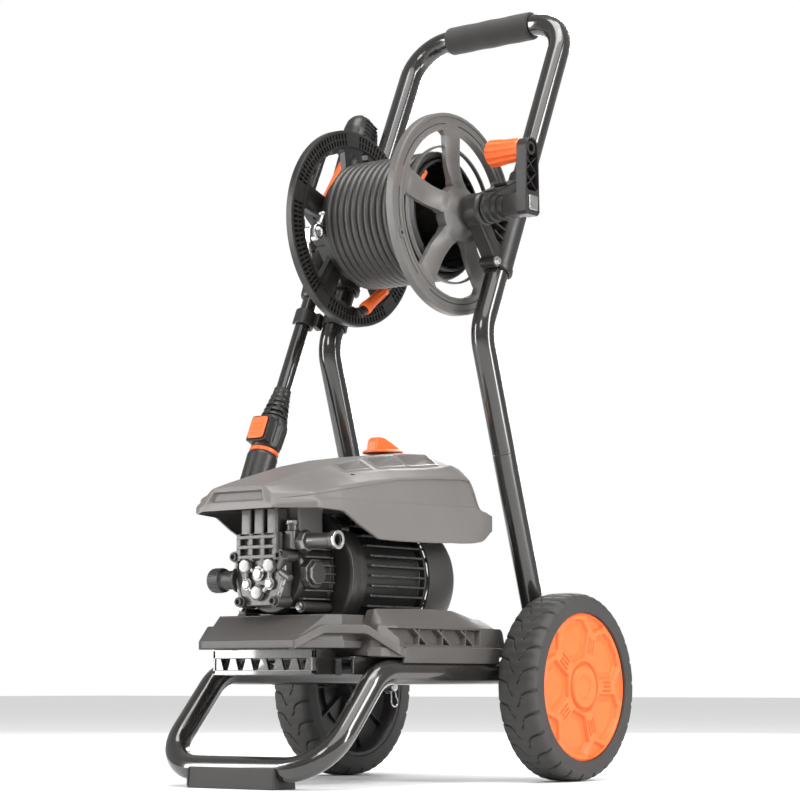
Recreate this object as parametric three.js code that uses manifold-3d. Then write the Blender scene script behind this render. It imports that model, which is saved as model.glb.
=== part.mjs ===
// A wheeled electric pressure washer: tubular frame, motor and pump under a hood, hose reel and spray gun.
// Millimetres. +X is the right-hand side, +Y the rear where the user stands, +Z up, Z = 0 the ground.
// The sub-parts are drawn from the wheel axle line (Y = 0), and the whole group is then moved forward
// or back so that the origin lies at the centre of the footprint.
import * as THREE from 'three'
import * as BufferGeometryUtils from 'three/addons/utils/BufferGeometryUtils.js'
import Module from 'manifold-3d'

const wasm = await Module()
wasm.setup()

// ---- driving dimensions ----------------------------------------------------------------------------
const GAP = 0.3                    // left between parts that touch

const WHEEL_RADIUS = 114           // a nine-inch wheel
const WHEEL_INNER_X = 147.2
const WHEEL_OUTER_X = 202.3
const DISC_RADIUS = 89.2

const TUBE_RADIUS = 14.3           // 28.6 mm steel tube
const TUBE_WALL = 1.5
const SIDE_X = 120.4               // centre line of the side tubes
const RAIL_Z = 130.4
const RAIL_REAR_Y = 52
const LEG_TOP_Y = -304.4           // where the rail's centre line meets the leg's
const BAR_Y = -403.4               // the front bar's centre line
const BAR_Z = 22
const UPRIGHT_FOOT_Y = 34          // the upright's centre line at rail height
const JOINT_Z = 401                // the handle tube plugs in here
const ELBOW_Y = -101.6             // the handle tube bends back here
const ELBOW_Z = 545
const HANDLE_Y = 94.75
const HANDLE_Z = 981
const FOOT_FRONT_Y = -422

const REEL_Y = -104.5
const REEL_Z = 694.9
const FLANGE_X = 79.5
const FLANGE_RADIUS = 126
const CORE_RADIUS = 70
const HOSE_DIAMETER = 10
const CRANK_LENGTH = 68

const MOTOR_Z = 243
const DECK_HALF = 134
const DECK_Z = 157
const HOOD_HALF = 100

const LANCE_X = -155
const LANCE_LEAN = Math.atan(0.4376)
const LANCE_TIP_Y = -217
const LANCE_TIP_Z = 334

const AXLE_Y = -(FOOT_FRONT_Y + WHEEL_RADIUS) / 2   // puts the footprint's middle at the origin

// ---- finishes --------------------------------------------------------------------------------------
const finish = (color, roughness, metalness = 0) => new THREE.MeshStandardMaterial({ color, roughness,
  metalness })
const PAINT = finish(0x2b2927, 0.25, 0.4)
const FOAM = finish(0x2a2928, 0.95)
const TYRE = finish(0x2d2c2b, 0.8)
const BLACK = finish(0x1c1b1b, 0.5)
const ORANGE = finish(0xff5a1f, 0.4)
const GREY = finish(0x5b5754, 0.45)
const DECK_GREY = finish(0x4a4745, 0.45)
const CAST = finish(0x343230, 0.4, 0.6)
const STEEL = finish(0xb8b8b8, 0.25, 1)
const COPPER = finish(0x9a5a34, 0.4, 0.8)
const HOSE = finish(0x2e2c2b, 0.4)

// ---- turning shapes into solids --------------------------------------------------------------------
const machine = new THREE.Group()
machine.position.set(0, AXLE_Y, 0)

function solidOf(geometry) {
  const bare = geometry.clone()
  bare.deleteAttribute('normal')
  bare.deleteAttribute('uv')
  const merged = BufferGeometryUtils.mergeVertices(bare, 1e-4)
  return new wasm.Manifold(new wasm.Mesh({
    numProp: 3,
    vertProperties: new Float32Array(merged.attributes.position.array),
    triVerts: new Uint32Array(merged.index.array),
  }))
}

function geometryOf(solid) {
  const { vertProperties, triVerts } = solid.getMesh()
  const geometry = new THREE.BufferGeometry()
  geometry.setAttribute('position', new THREE.BufferAttribute(new Float32Array(vertProperties), 3))
  geometry.setIndex(new THREE.BufferAttribute(new Uint32Array(triVerts), 1))
  return geometry
}

const join = (...solids) => solids.reduce((whole, solid) => whole.add(solid))
const cut = (solid, ...tools) => tools.reduce((left, tool) => left.subtract(tool), solid)

function add(name, solid, material, parent = machine) {
  const mesh = new THREE.Mesh(geometryOf(solid), material)
  mesh.name = name
  parent.add(mesh)
  return mesh
}

// ---- basic shapes ----------------------------------------------------------------------------------
function block([x0, x1], [y0, y1], [z0, z1]) {
  const geometry = new THREE.BoxGeometry(x1 - x0, y1 - y0, z1 - z0)
  geometry.translate((x0 + x1) / 2, (y0 + y1) / 2, (z0 + z1) / 2)
  return solidOf(geometry)
}

// A round bar from one point to another, straight or tapered.
function rod(from, to, startRadius, endRadius = startRadius, sides = 16) {
  const start = new THREE.Vector3(...from)
  const run = new THREE.Vector3(...to).sub(start)
  const length = run.length()
  const geometry = new THREE.CylinderGeometry(endRadius, startRadius, length, sides)
  geometry.translate(0, length / 2, 0)
  geometry.applyQuaternion(new THREE.Quaternion().setFromUnitVectors(new THREE.Vector3(0, 1, 0),
    run.normalize()))
  geometry.translate(start.x, start.y, start.z)
  return solidOf(geometry)
}

const alongX = (x0, x1, y, z, r0, r1 = r0, sides = 16) => rod([x0, y, z], [x1, y, z], r0, r1, sides)
const alongY = (y0, y1, x, z, r0, r1 = r0, sides = 16) => rod([x, y0, z], [x, y1, z], r0, r1, sides)
const alongZ = (z0, z1, x, y, r0, r1 = r0, sides = 16) => rod([x, y, z0], [x, y, z1], r0, r1, sides)

// A turned piece: the profile is [radius, distance along the axis] pairs and closes on itself or on the axis.
function turned(profile, sides = 32) {
  const closes = profile[0][0] > 0
  const points = (closes ? [...profile, profile[0]] : profile).map(([r, h]) => new THREE.Vector2(r, h))
  const solid = solidOf(new THREE.LatheGeometry(points, sides))
  return solid.volume() < 0 ? solidOf(flipped(new THREE.LatheGeometry(points, sides))) : solid
}

function flipped(geometry) {
  const index = geometry.index.array
  for (let i = 0; i < index.length; i += 3) [index[i + 1], index[i + 2]] = [index[i + 2], index[i + 1]]
  return geometry
}

// Lathe pieces stand on Y; these lay them along X or leave them along Y,
// about the line through [y, z] or [x, z].
const turnedX = (profile, y, z, sides) => turned(profile, sides).rotate([0, 0, -90]).translate([0, y, z])
const turnedY = (profile, x, z, sides) => turned(profile, sides).translate([x, 0, z])

// A flat plate cut to an outline in Y and Z, from x0 to x1.
function plateX(outline, x0, x1, holes = []) {
  const shape = new THREE.Shape(outline.map(([y, z]) => new THREE.Vector2(y, z)))
  shape.holes = holes
  const geometry = new THREE.ExtrudeGeometry(shape,
    { depth: x1 - x0, bevelEnabled: false, curveSegments: 6 })
  geometry.applyMatrix4(new THREE.Matrix4().set(0, 0, 1, x0, 1, 0, 0, 0, 0, 1, 0, 0, 0, 0, 0, 1))
  return solidOf(geometry)
}

// A flat plate cut to an outline in X and Y, from z0 to z1.
function plateZ(outline, z0, z1) {
  const shape = new THREE.Shape(outline.map(([x, y]) => new THREE.Vector2(x, y)))
  const geometry = new THREE.ExtrudeGeometry(shape, { depth: z1 - z0, bevelEnabled: false })
  geometry.translate(0, 0, z0)
  return solidOf(geometry)
}

const mirrored = (outline) => [...outline, ...outline.map(([x, y]) => [-x, y]).reverse()]

// The centre line of a bent tube: straight runs between corners, with each corner rounded to a bend radius.
class BentLine extends THREE.Curve {
  constructor(corners, bendRadius, bendSteps = 3) {
    super()
    const points = corners.map((corner) => new THREE.Vector3(...corner))
    this.stations = [points[0]]
    for (let i = 1; i < points.length - 1; i++) {
      const into = points[i].clone().sub(points[i - 1]).normalize()
      const out = points[i + 1].clone().sub(points[i]).normalize()
      const turn = into.angleTo(out)
      const setback = bendRadius * Math.tan(turn / 2)
      const start = points[i].clone().addScaledVector(into, -setback)
      const inward = out.clone().addScaledVector(into, -Math.cos(turn)).normalize()
      const centre = start.clone().addScaledVector(inward, bendRadius)
      for (let k = 0; k <= bendSteps; k++) {
        const angle = turn * k / bendSteps
        this.stations.push(centre.clone()
          .addScaledVector(inward, -bendRadius * Math.cos(angle))
          .addScaledVector(into, bendRadius * Math.sin(angle)))
      }
    }
    this.stations.push(points[points.length - 1])
    this.steps = this.stations.length - 1
  }
  getPoint(t, target = new THREE.Vector3()) {
    const place = Math.min(t * this.steps, this.steps - 1e-9)
    const i = Math.floor(place)
    return target.lerpVectors(this.stations[i], this.stations[i + 1], place - i)
  }
  getTangent(t, target = new THREE.Vector3()) {
    const i = Math.round(t * this.steps)
    const before = this.stations[Math.max(i, 1)].clone().sub(this.stations[Math.max(i, 1) - 1]).normalize()
    const last = Math.min(i, this.steps - 1)
    const after = this.stations[last + 1].clone().sub(this.stations[last]).normalize()
    return target.copy(before.add(after).normalize())
  }
  getUtoTmapping(u) {
    return u
  }
}

function tubeAlong(line, radius, boreRadius = 0, sides = 10) {
  const shape = new THREE.Shape().absarc(0, 0, radius, 0, Math.PI * 2)
  if (boreRadius > 0) shape.holes.push(new THREE.Path().absarc(0, 0, boreRadius, 0, Math.PI * 2))
  return solidOf(new THREE.ExtrudeGeometry(shape, {
    steps: line.steps, extrudePath: line, bevelEnabled: false, curveSegments: sides / 2,
  }))
}

// A solid lofted through rings of points, each ring given in order round the section.
function loft(rings) {
  const count = rings[0].length
  const index = []
  for (let i = 0; i < rings.length - 1; i++) {
    for (let k = 0; k < count; k++) {
      const a = i * count + k
      const b = i * count + (k + 1) % count
      index.push(a, b, a + count, b, b + count, a + count)
    }
  }
  const last = rings.length - 1
  for (const [at, closing] of [[0, false], [last, true]]) {
    const contour = rings[at].map(([x, , z]) => new THREE.Vector2(x, z))
    const sense = Math.sign(THREE.ShapeUtils.area(contour))
    for (const [a, b, c] of THREE.ShapeUtils.triangulateShape(contour, [])) {
      const forward = Math.sign(THREE.ShapeUtils.area([contour[a], contour[b], contour[c]])) === sense
      const corners = forward === closing ? [a, b, c] : [a, c, b]
      index.push(...corners.map((corner) => at * count + corner))
    }
  }
  const geometry = new THREE.BufferGeometry()
  geometry.setAttribute('position', new THREE.Float32BufferAttribute(rings.flat(2), 3))
  geometry.setIndex(index)
  const solid = solidOf(geometry)
  return solid.volume() < 0 ? solidOf(flipped(geometry)) : solid
}

// ---- frame -----------------------------------------------------------------------------------------
const AXLE_SLEEVE_RADIUS = 9
const AXLE_RADIUS = 6
// rearward per mm of height, above the elbow and below it
const upperLean = (HANDLE_Y - ELBOW_Y) / (HANDLE_Z - ELBOW_Z)
const lowerLean = (ELBOW_Y - UPRIGHT_FOOT_Y) / (ELBOW_Z - RAIL_Z)
const uprightY = (z) => UPRIGHT_FOOT_Y + lowerLean * (z - RAIL_Z)
const handleY = (z) => ELBOW_Y + upperLean * (z - ELBOW_Z)

function frameTubes() {
  const bore = TUBE_RADIUS - TUBE_WALL
  const left = [[-SIDE_X, uprightY(JOINT_Z), JOINT_Z], [-SIDE_X, ELBOW_Y, ELBOW_Z],
    [-SIDE_X, HANDLE_Y, HANDLE_Z]]
  const right = left.map(([x, y, z]) => [-x, y, z]).reverse()
  add('handle_tube', tubeAlong(new BentLine([...left, ...right], 52), TUBE_RADIUS, bore), PAINT)

  const rail = [[-SIDE_X, RAIL_REAR_Y, RAIL_Z], [-SIDE_X, LEG_TOP_Y, RAIL_Z], [-SIDE_X, BAR_Y, BAR_Z]]
  const railRight = rail.map(([x, y, z]) => [-x, y, z]).reverse()
  let base = tubeAlong(new BentLine([...rail, ...railRight], 54), TUBE_RADIUS, bore)
  for (const side of [-1, 1]) base = base.subtract(axleSleeveBody(side, GAP))
  add('base_tube', base, PAINT)

  for (const [side, name] of [[-1, 'left'], [1, 'right']]) {
    const footZ = RAIL_Z + TUBE_RADIUS * 1.5
    const low = [side * SIDE_X, uprightY(footZ), footZ]
    const high = [side * SIDE_X, uprightY(JOINT_Z) + GAP * 0.3, JOINT_Z - GAP]
    add(`upright_${name}`, tubeAlong(new BentLine([low, high], 0), TUBE_RADIUS, bore), PAINT)

    add(`axle_sleeve_${name}`, cut(axleSleeveBody(side, 0),
      alongX(side * 90, side * 150, 0, WHEEL_RADIUS, AXLE_RADIUS + 0.1)), PAINT)
    const axle = join(alongX(side * 90, side * 190, 0, WHEEL_RADIUS, AXLE_RADIUS),
      alongX(side * 190, side * 194, 0, WHEEL_RADIUS, AXLE_RADIUS + 4))
    add(`axle_${name}`, cut(axle, alongZ(WHEEL_RADIUS - 10, WHEEL_RADIUS + 10, side * 96, 0, 1.6, 1.6, 8)),
      STEEL)
    const clipX = side * 96
    const clip = new BentLine([[clipX, 0, WHEEL_RADIUS + 9], [clipX, 0, WHEEL_RADIUS - 16],
      [clipX, 14, WHEEL_RADIUS - 16], [clipX, 14, WHEEL_RADIUS - 2], [clipX, 8.5, WHEEL_RADIUS + 4]], 3, 2)
    add(`axle_clip_${name}`, tubeAlong(clip, 1.1, 0, 6), STEEL)
  }

  const gripHalf = 66
  add('foam_grip', turnedX([[TUBE_RADIUS + GAP, -gripHalf], [18, -gripHalf], [18.6, 4 - gripHalf],
    [18.6, gripHalf - 4], [18, gripHalf], [TUBE_RADIUS + GAP, gripHalf]], HANDLE_Y, HANDLE_Z, 24), FOAM)

  const foot = cut(block([-64, 64], [FOOT_FRONT_Y, FOOT_FRONT_Y + 40], [0, 24]),
    alongX(-70, 70, BAR_Y, BAR_Z, TUBE_RADIUS + GAP, TUBE_RADIUS + GAP, 24))
  add('front_foot', foot, BLACK)
}

function axleSleeveBody(side, clearance) {
  const ends = clearance ? [90, 150] : [102, 146.7]
  return alongX(side * ends[0], side * ends[1], 0, WHEEL_RADIUS, AXLE_SLEEVE_RADIUS + clearance,
    AXLE_SLEEVE_RADIUS + clearance, 20)
}

// ---- wheels ----------------------------------------------------------------------------------------
function wheel(side, name) {
  const inner = WHEEL_INNER_X
  const outer = WHEEL_OUTER_X
  const seat = DISC_RADIUS + 0.6
  const onAxle = (profile, sides) => {
    return turnedX(profile.map(([r, x]) => [r, side > 0 ? x : -x]), 0, WHEEL_RADIUS, sides)
  }
  add(`tyre_${name}`, onAxle([[seat, inner], [106, inner], [112, inner + 7], [WHEEL_RADIUS, inner + 18],
    [WHEEL_RADIUS, outer - 18], [112, outer - 7], [106, outer], [seat, outer]], 32), TYRE)
  const bore = AXLE_RADIUS + 0.1
  add(`rim_${name}`, onAxle([[bore, inner + 1], [18, inner + 1], [18, inner + 18], [82, inner + 24],
    [82, inner + 2],
    [seat - 1, inner + 2], [seat - 1, outer - 12.6], [bore, outer - 12.6]], 24), BLACK)
  add(`hub_disc_${name}`, onAxle([[AXLE_RADIUS + 5, outer - 12.2], [DISC_RADIUS, outer - 12.2],
    [DISC_RADIUS, outer - 3.5],
    [84, outer - 1.5], [26, outer - 1.5], [22, outer - 5], [AXLE_RADIUS + 5, outer - 5]], 28), ORANGE)
}

// ---- deck ------------------------------------------------------------------------------------------
const DECK_FRONT_Y = -394
const DECK_FRONT_HALF = 70
const DECK_SHOULDER_Y = -275
const DECK_REAR_Y = -58

function deckAndCradle() {
  const floor = plateZ(mirrored([[DECK_FRONT_HALF, DECK_FRONT_Y], [DECK_HALF, DECK_SHOULDER_Y],
    [DECK_HALF, -84], [106, DECK_REAR_Y]]), DECK_Z - 8, DECK_Z)
  const frontPlate = plateZ(mirrored([[DECK_FRONT_HALF, DECK_FRONT_Y], [96, -345], [96, -300]]),
    DECK_Z - 4, DECK_Z + 11)
  const parts = [floor, frontPlate]
  for (const side of [-1, 1]) {
    // the raised side strip follows the slanted edge, then the hump carries on over the rail to the rear
    const strip = [[86, -364, 184], [112, -316, 184]].map(([x, y, z]) => [side * x, y, z])
    const ring = ([x, y, z], width) => [[x, y, z - 12], [x, y, z], [x - side * width, y, z],
      [x - side * width, y, z - 12]]
    const ends = [[side * 76, -383, DECK_Z + 4], ...strip, [side * 131, -280, DECK_Z + 5]]
    const rings = ends.map((end) => ring(end, 26))
    parts.push(loft(rings))
    const outline = [[-280, DECK_Z - 2], [-232, 192], [-176, 204], [-150, 199], [-100, 194], [-78, 180],
      [-64, DECK_Z - 2]]
    const hump = plateX(outline, side > 0 ? 92 : -116, side > 0 ? 116 : -92)
    const slope = plateX([[-280, DECK_Z - 2], [-232, 176], [-100, 180], [-78, 168], [-70, DECK_Z - 2]],
      side > 0 ? 110 : -127, side > 0 ? 127 : -110)
    parts.push(hump, slope)
    parts.push(block(side > 0 ? [128, DECK_HALF] : [-DECK_HALF, -128], [DECK_SHOULDER_Y, -84],
      [DECK_Z - 10, DECK_Z]))
  }
  let deck = join(...parts)
  for (const side of [-1, 1]) {
    for (let k = 0; k < 4; k++) {
      const y = -218 + k * 32
      deck = deck.subtract(plateX([[y, 164], [y + 20, 164], [y + 6, 186]], side > 0 ? 118 : -140,
        side > 0 ? 140 : -118))
    }
    deck = deck.subtract(plateX([[-262, DECK_Z - 20], [-225, 186], [-176, 197], [-104, 188],
      [-84, DECK_Z - 20]],
      side > 0 ? 96 : -112, side > 0 ? 112 : -96))
  }
  deck = deck.subtract(alongY(-310, -60, 0, MOTOR_Z, 88, 88, 32))
  add('deck', deck, DECK_GREY)

  // a steel tray welded between the rails carries the motor and the pump
  const cradle = cut(join(block([-104, 104], [-330, -96], [DECK_Z - 12, DECK_Z - 8 - GAP]),
    block([-104, -100], [-330, -96], [DECK_Z - 30, DECK_Z - 8 - GAP]),
      block([100, 104], [-330, -96], [DECK_Z - 30, DECK_Z - 8 - GAP])),
  block([-70, 70], [-240, -190], [DECK_Z - 40, DECK_Z + 5]))
  add('motor_tray', cradle, PAINT)
}

// ---- motor -----------------------------------------------------------------------------------------
const BELL_FRONT_Y = -300
const HOUSING_FRONT_Y = -267.7
const HOUSING_REAR_Y = -152.2
const COVER_REAR_Y = -89

function motor() {
  const bell = join(turnedY([[9, BELL_FRONT_Y], [79, BELL_FRONT_Y], [79, BELL_FRONT_Y + 12],
    [74, BELL_FRONT_Y + 16],
    [74, HOUSING_FRONT_Y - GAP], [9, HOUSING_FRONT_Y - GAP]], 0, MOTOR_Z, 28),
  block([-46, 46], [BELL_FRONT_Y + 2, BELL_FRONT_Y + 26], [DECK_Z + GAP, MOTOR_Z - 60]))
  add('motor_front_bell', bell, CAST)

  let housing = turnedY([[64, HOUSING_FRONT_Y], [70, HOUSING_FRONT_Y], [70, HOUSING_REAR_Y],
    [64, HOUSING_REAR_Y]], 0, MOTOR_Z, 28)
  for (let k = 0; k < 12; k++) {
    const fin = block([67, 76], [HOUSING_FRONT_Y + 12, HOUSING_REAR_Y - 4],
      [-1.2, 1.2]).rotate([0, 30 * k, 0])
    housing = housing.add(fin.translate([0, 0, MOTOR_Z]))
  }
  add('motor_housing', housing, BLACK)

  add('stator', turnedY([[38, -250], [63.2, -250], [63.2, -170], [38, -170]], 0, MOTOR_Z, 24), COPPER)
  const rotor = turnedY([[0, -334], [7, -334], [7, -248], [37, -246], [37, -174], [8, -172], [8, -112],
    [0, -112]], 0, MOTOR_Z, 24)
  add('rotor', rotor, STEEL)

  let fan = turnedY([[8.3, -142], [20, -142], [20, -124], [8.3, -124]], 0, MOTOR_Z, 20)
  for (let k = 0; k < 8; k++) {
    fan = fan.add(block([16, 62], [-142, -124],
      [-1.2, 1.2]).rotate([0, 45 * k, 0]).translate([0, 0, MOTOR_Z]))
  }
  add('cooling_fan', fan, GREY)

  const front = HOUSING_REAR_Y + GAP
  let cover = turnedY([[76.5, front], [79.8, front], [78.5, -125], [74.5, COVER_REAR_Y - 4],
    [71, COVER_REAR_Y], [0, COVER_REAR_Y],
    [0, COVER_REAR_Y - 2.5], [69, COVER_REAR_Y - 2.5], [72, -95], [76, -125]], 0, MOTOR_Z, 28)
  for (let k = -1; k <= 1; k++) {
    const reach = Math.sqrt(60 * 60 - (k * 28) ** 2)
    cover = cover.subtract(block([-reach, -3], [COVER_REAR_Y - 6, COVER_REAR_Y + 3],
      [MOTOR_Z + k * 28 - 7, MOTOR_Z + k * 28 + 7]))
    cover = cover.subtract(block([3, reach], [COVER_REAR_Y - 6, COVER_REAR_Y + 3],
      [MOTOR_Z + k * 28 - 7, MOTOR_Z + k * 28 + 7]))
  }
  add('fan_cover', cover, GREY)
}

// ---- pump ------------------------------------------------------------------------------------------
const HEAD_FRONT_Y = -378
const HEAD_REAR_Y = -352
const PLUNGER_CIRCLE = 22

function pump() {
  let crankcase = alongY(HEAD_REAR_Y + GAP, BELL_FRONT_Y - GAP, 0, MOTOR_Z, 44, 50, 20)
  for (let k = -2; k <= 2; k++) {
    crankcase = crankcase.add(block([-53, 53], [-344, -308],
      [MOTOR_Z + k * 11 - 1.5, MOTOR_Z + k * 11 + 1.5]))
  }
  crankcase = crankcase.subtract(alongY(-342, -290, 0, MOTOR_Z, 40, 40, 20))
  for (let k = 0; k < 3; k++) crankcase = crankcase.subtract(plungerRod(k, 7.4, -356, -330))
  add('crankcase', crankcase, CAST)

  // a swash plate turns with the shaft and pushes the three plungers in turn
  const swash = alongY(-322, -316, 0, 0, 33, 33,
    28).translate([0, 319, 0]).rotate([6, 0, 0]).translate([0, -319, MOTOR_Z])
  add('swash_plate', cut(swash, alongY(-340, -300, 0, MOTOR_Z, 7.3, 7.3, 16)), STEEL)

  let head = join(block([-30, 30], [HEAD_FRONT_Y + 8, HEAD_REAR_Y], [206, 291]),
    alongY(HEAD_FRONT_Y + 4, HEAD_REAR_Y, 0, MOTOR_Z - 2, 32, 32, 18))
  for (const [x, z] of [[-34, 263], [34, 263], [-26, 211], [26, 211]]) {
    const lug = cut(alongY(HEAD_FRONT_Y - 3, HEAD_REAR_Y, x, z, 7, 7, 10),
      alongY(HEAD_FRONT_Y - 4, HEAD_FRONT_Y + 3, x, z, 3, 3, 6))
    head = head.add(lug)
  }
  for (const x of [-18, 0, 18]) head = head.add(alongZ(285, 318, x, -364, 7.5, 7.5, 8))
  for (const [x, z] of [[-18, 252], [18, 252], [0, 221]]) head = head.add(alongY(HEAD_FRONT_Y, HEAD_REAR_Y,
    x, z, 8, 8, 10))
  for (let k = 0; k < 3; k++) head = head.subtract(plungerRod(k, 6.4, -366, -340))
  head = head.subtract(alongX(-36, -31.5, -366, 237, 11.6, 11.6, 16))
  add('pump_head', head, CAST)

  for (let k = 0; k < 3; k++) add(`plunger_${k + 1}`, plungerRod(k, 6, -362, -326), STEEL)

  const inletY = -366
  const inlet = join(alongX(-33, -60, inletY, 237, 11, 11, 16), alongX(-58, -76, inletY, 237, 14, 14, 16))
  add('water_inlet', cut(inlet, alongX(-30, -90, inletY, 237, 6.5, 6.5, 12)), BLACK)

  const outlet = join(alongX(40, 93, -352, 279.5, 9, 9, 14), alongX(92, 100, -352, 279.5, 11, 11, 16),
    block([30.5, 44], [-368, HEAD_REAR_Y - GAP], [271.5, 291]))
  add('pump_outlet', cut(outlet, alongX(48, 110, -352, 279.5, 6.5, 6.5, 12)), CAST)
  add('pressure_switch_box', block([-12, 40], [-350, -306], [296, 325]), GREY)
}

function plungerRod(k, radius, y0, y1) {
  const angle = Math.PI / 2 + k * Math.PI * 2 / 3
  return alongY(y0, y1, PLUNGER_CIRCLE * Math.cos(angle), MOTOR_Z + PLUNGER_CIRCLE * Math.sin(angle),
    radius, radius, 10)
}

// ---- hood ------------------------------------------------------------------------------------------
// Stations from the front lip to the rear: Y, top half width, top Z, shoulder half width, shoulder Z,
// belt half width, belt Z, bottom Z.
const HOOD_STATIONS = [
  [-416, 46, 322, 50, 319, 55, 316, 310],
  [-411, 36, 341, 42, 339, 57, 318, 310],
  [-380, 38, 350, 48, 346, 92, 324, 312],
  [-340, 40, 361, 56, 354, 98, 328, 311],
  [-313, 42, 368, 62, 358, HOOD_HALF, 330, 300],
  [-276, 44, 377, 68, 364, HOOD_HALF, 329, 284],
  [-233, 44, 386, 72, 370, HOOD_HALF, 328, 283],
  [-170, 44, 395, 75, 377, HOOD_HALF, 327, 284],
  [-113, 44, 398, 76, 378, HOOD_HALF, 326, 286],
  [-91, 44, 388, 74, 374, HOOD_HALF, 326, 290],
  [-71, 42, 350, 72, 340, HOOD_HALF, 326, 296],
  [-48, 42, 327, 72, 326, 96, 322, 306],
]

const KNOB_Y = -142                // the knob stands on the hood's middle line

function hoodRing([y, topHalf, topZ, shoulderHalf, shoulderZ, beltHalf, beltZ, bottomZ], wall, drop) {
  const right = [[topHalf - wall * 0.5, topZ - wall], [shoulderHalf - wall, shoulderZ - wall * 0.6],
    [beltHalf - wall, beltZ - wall * 0.2], [beltHalf - wall, bottomZ - drop]]
  return [...right, ...right.map(([x, z]) => [-x, z]).reverse()].map(([x, z]) => [x, y, z])
}

function hood() {
  const wall = 3
  const outer = loft(HOOD_STATIONS.map((station) => hoodRing(station, 0, 0)))
  const innerStations = HOOD_STATIONS.slice(1, -1)
  innerStations[0] = [-408, ...HOOD_STATIONS[1].slice(1)]
  innerStations[innerStations.length - 1] = [-74, ...HOOD_STATIONS[10].slice(1)]
  const inner = loft(innerStations.map((station) => hoodRing(station, wall, 60)))
  let shell = outer.subtract(inner)
  shell = shell.subtract(alongZ(380, 420, 0, KNOB_Y, 9, 9, 20))
  for (const side of [-1, 1]) {
    for (const y of [-262, -222, -182]) {
      const half = 52
      shell = shell.subtract(block(side > 0 ? [half, half + 22] : [-half - 22, -half], [y, y + 22],
        [364, 400]))
    }
  }
  // two bosses come down onto the motor housing
  for (const side of [-1, 1]) shell = shell.add(alongZ(MOTOR_Z + 78.6, 386, side * 14, -216, 6, 6, 8))
  // a cup moulded on the hood's left side takes the end of the spray lance
  const cup = cut(rod([0, 0, -4], [0, 0, 28], 24, 24, 12), rod([0, 0, -0.3], [0, 0, 30], 21.5, 21.5, 12),
    rod([0, 0, -10], [0, 0, 2], 8, 8, 8))
  const arm = block([LANCE_X + 20.5, 1 - HOOD_HALF], [LANCE_TIP_Y - 10, LANCE_TIP_Y + 16], [312, 340])
  add('hood', join(shell, arm, inLanceFrame(cup)), GREY)

  add('switch_body', join(block([-14, 14], [KNOB_Y - 14, KNOB_Y + 14], [352, 378]),
    alongZ(378, 390, 0, KNOB_Y, 8, 8, 16)), BLACK)
  const knob = join(alongZ(399.2, 402.5, 0, KNOB_Y, 25, 25, 28),
    block([-7, 7], [KNOB_Y - 24, KNOB_Y + 24], [402, 418]),
    alongZ(390.3, 400, 0, KNOB_Y, 6, 6, 16))
  add('switch_knob', knob, ORANGE)
}

// ---- hose reel -------------------------------------------------------------------------------------
const SPOKES = 5
const SHAFT_RADIUS = 8

const arcPoints = (radius, from, to, steps) => Array.from({ length: steps + 1 }, (_, k) => {
  const angle = from + (to - from) * k / steps
  return new THREE.Vector2(REEL_Y + radius * Math.cos(angle), REEL_Z + radius * Math.sin(angle))
})

function flangeShape(rimInner, hubRadius, spokeHalf) {
  const shape = new THREE.Shape(arcPoints(FLANGE_RADIUS, 0, Math.PI * 2, 32).slice(1))
  shape.holes.push(new THREE.Path(arcPoints(SHAFT_RADIUS + 0.2, 0, Math.PI * 2, 14).slice(1)))
  for (let k = 0; k < SPOKES; k++) {
    const middle = (k + 0.5) * Math.PI * 2 / SPOKES + 0.35
    const outerHalf = Math.PI / SPOKES - Math.asin(spokeHalf / rimInner)
    const innerHalf = Math.PI / SPOKES - Math.asin(spokeHalf * 0.7 / hubRadius)
    shape.holes.push(new THREE.Path([...arcPoints(rimInner, middle - outerHalf, middle + outerHalf, 4),
      ...arcPoints(hubRadius, middle + innerHalf, middle - innerHalf, 2)]))
  }
  return shape
}

function flange(x0, x1, rimInner, hubRadius, spokeHalf) {
  const geometry = new THREE.ExtrudeGeometry(flangeShape(rimInner, hubRadius, spokeHalf),
    { depth: x1 - x0, bevelEnabled: false })
  geometry.applyMatrix4(new THREE.Matrix4().set(0, 0, 1, x0, 1, 0, 0, 0, 0, 1, 0, 0, 0, 0, 0, 1))
  return solidOf(geometry)
}

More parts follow.
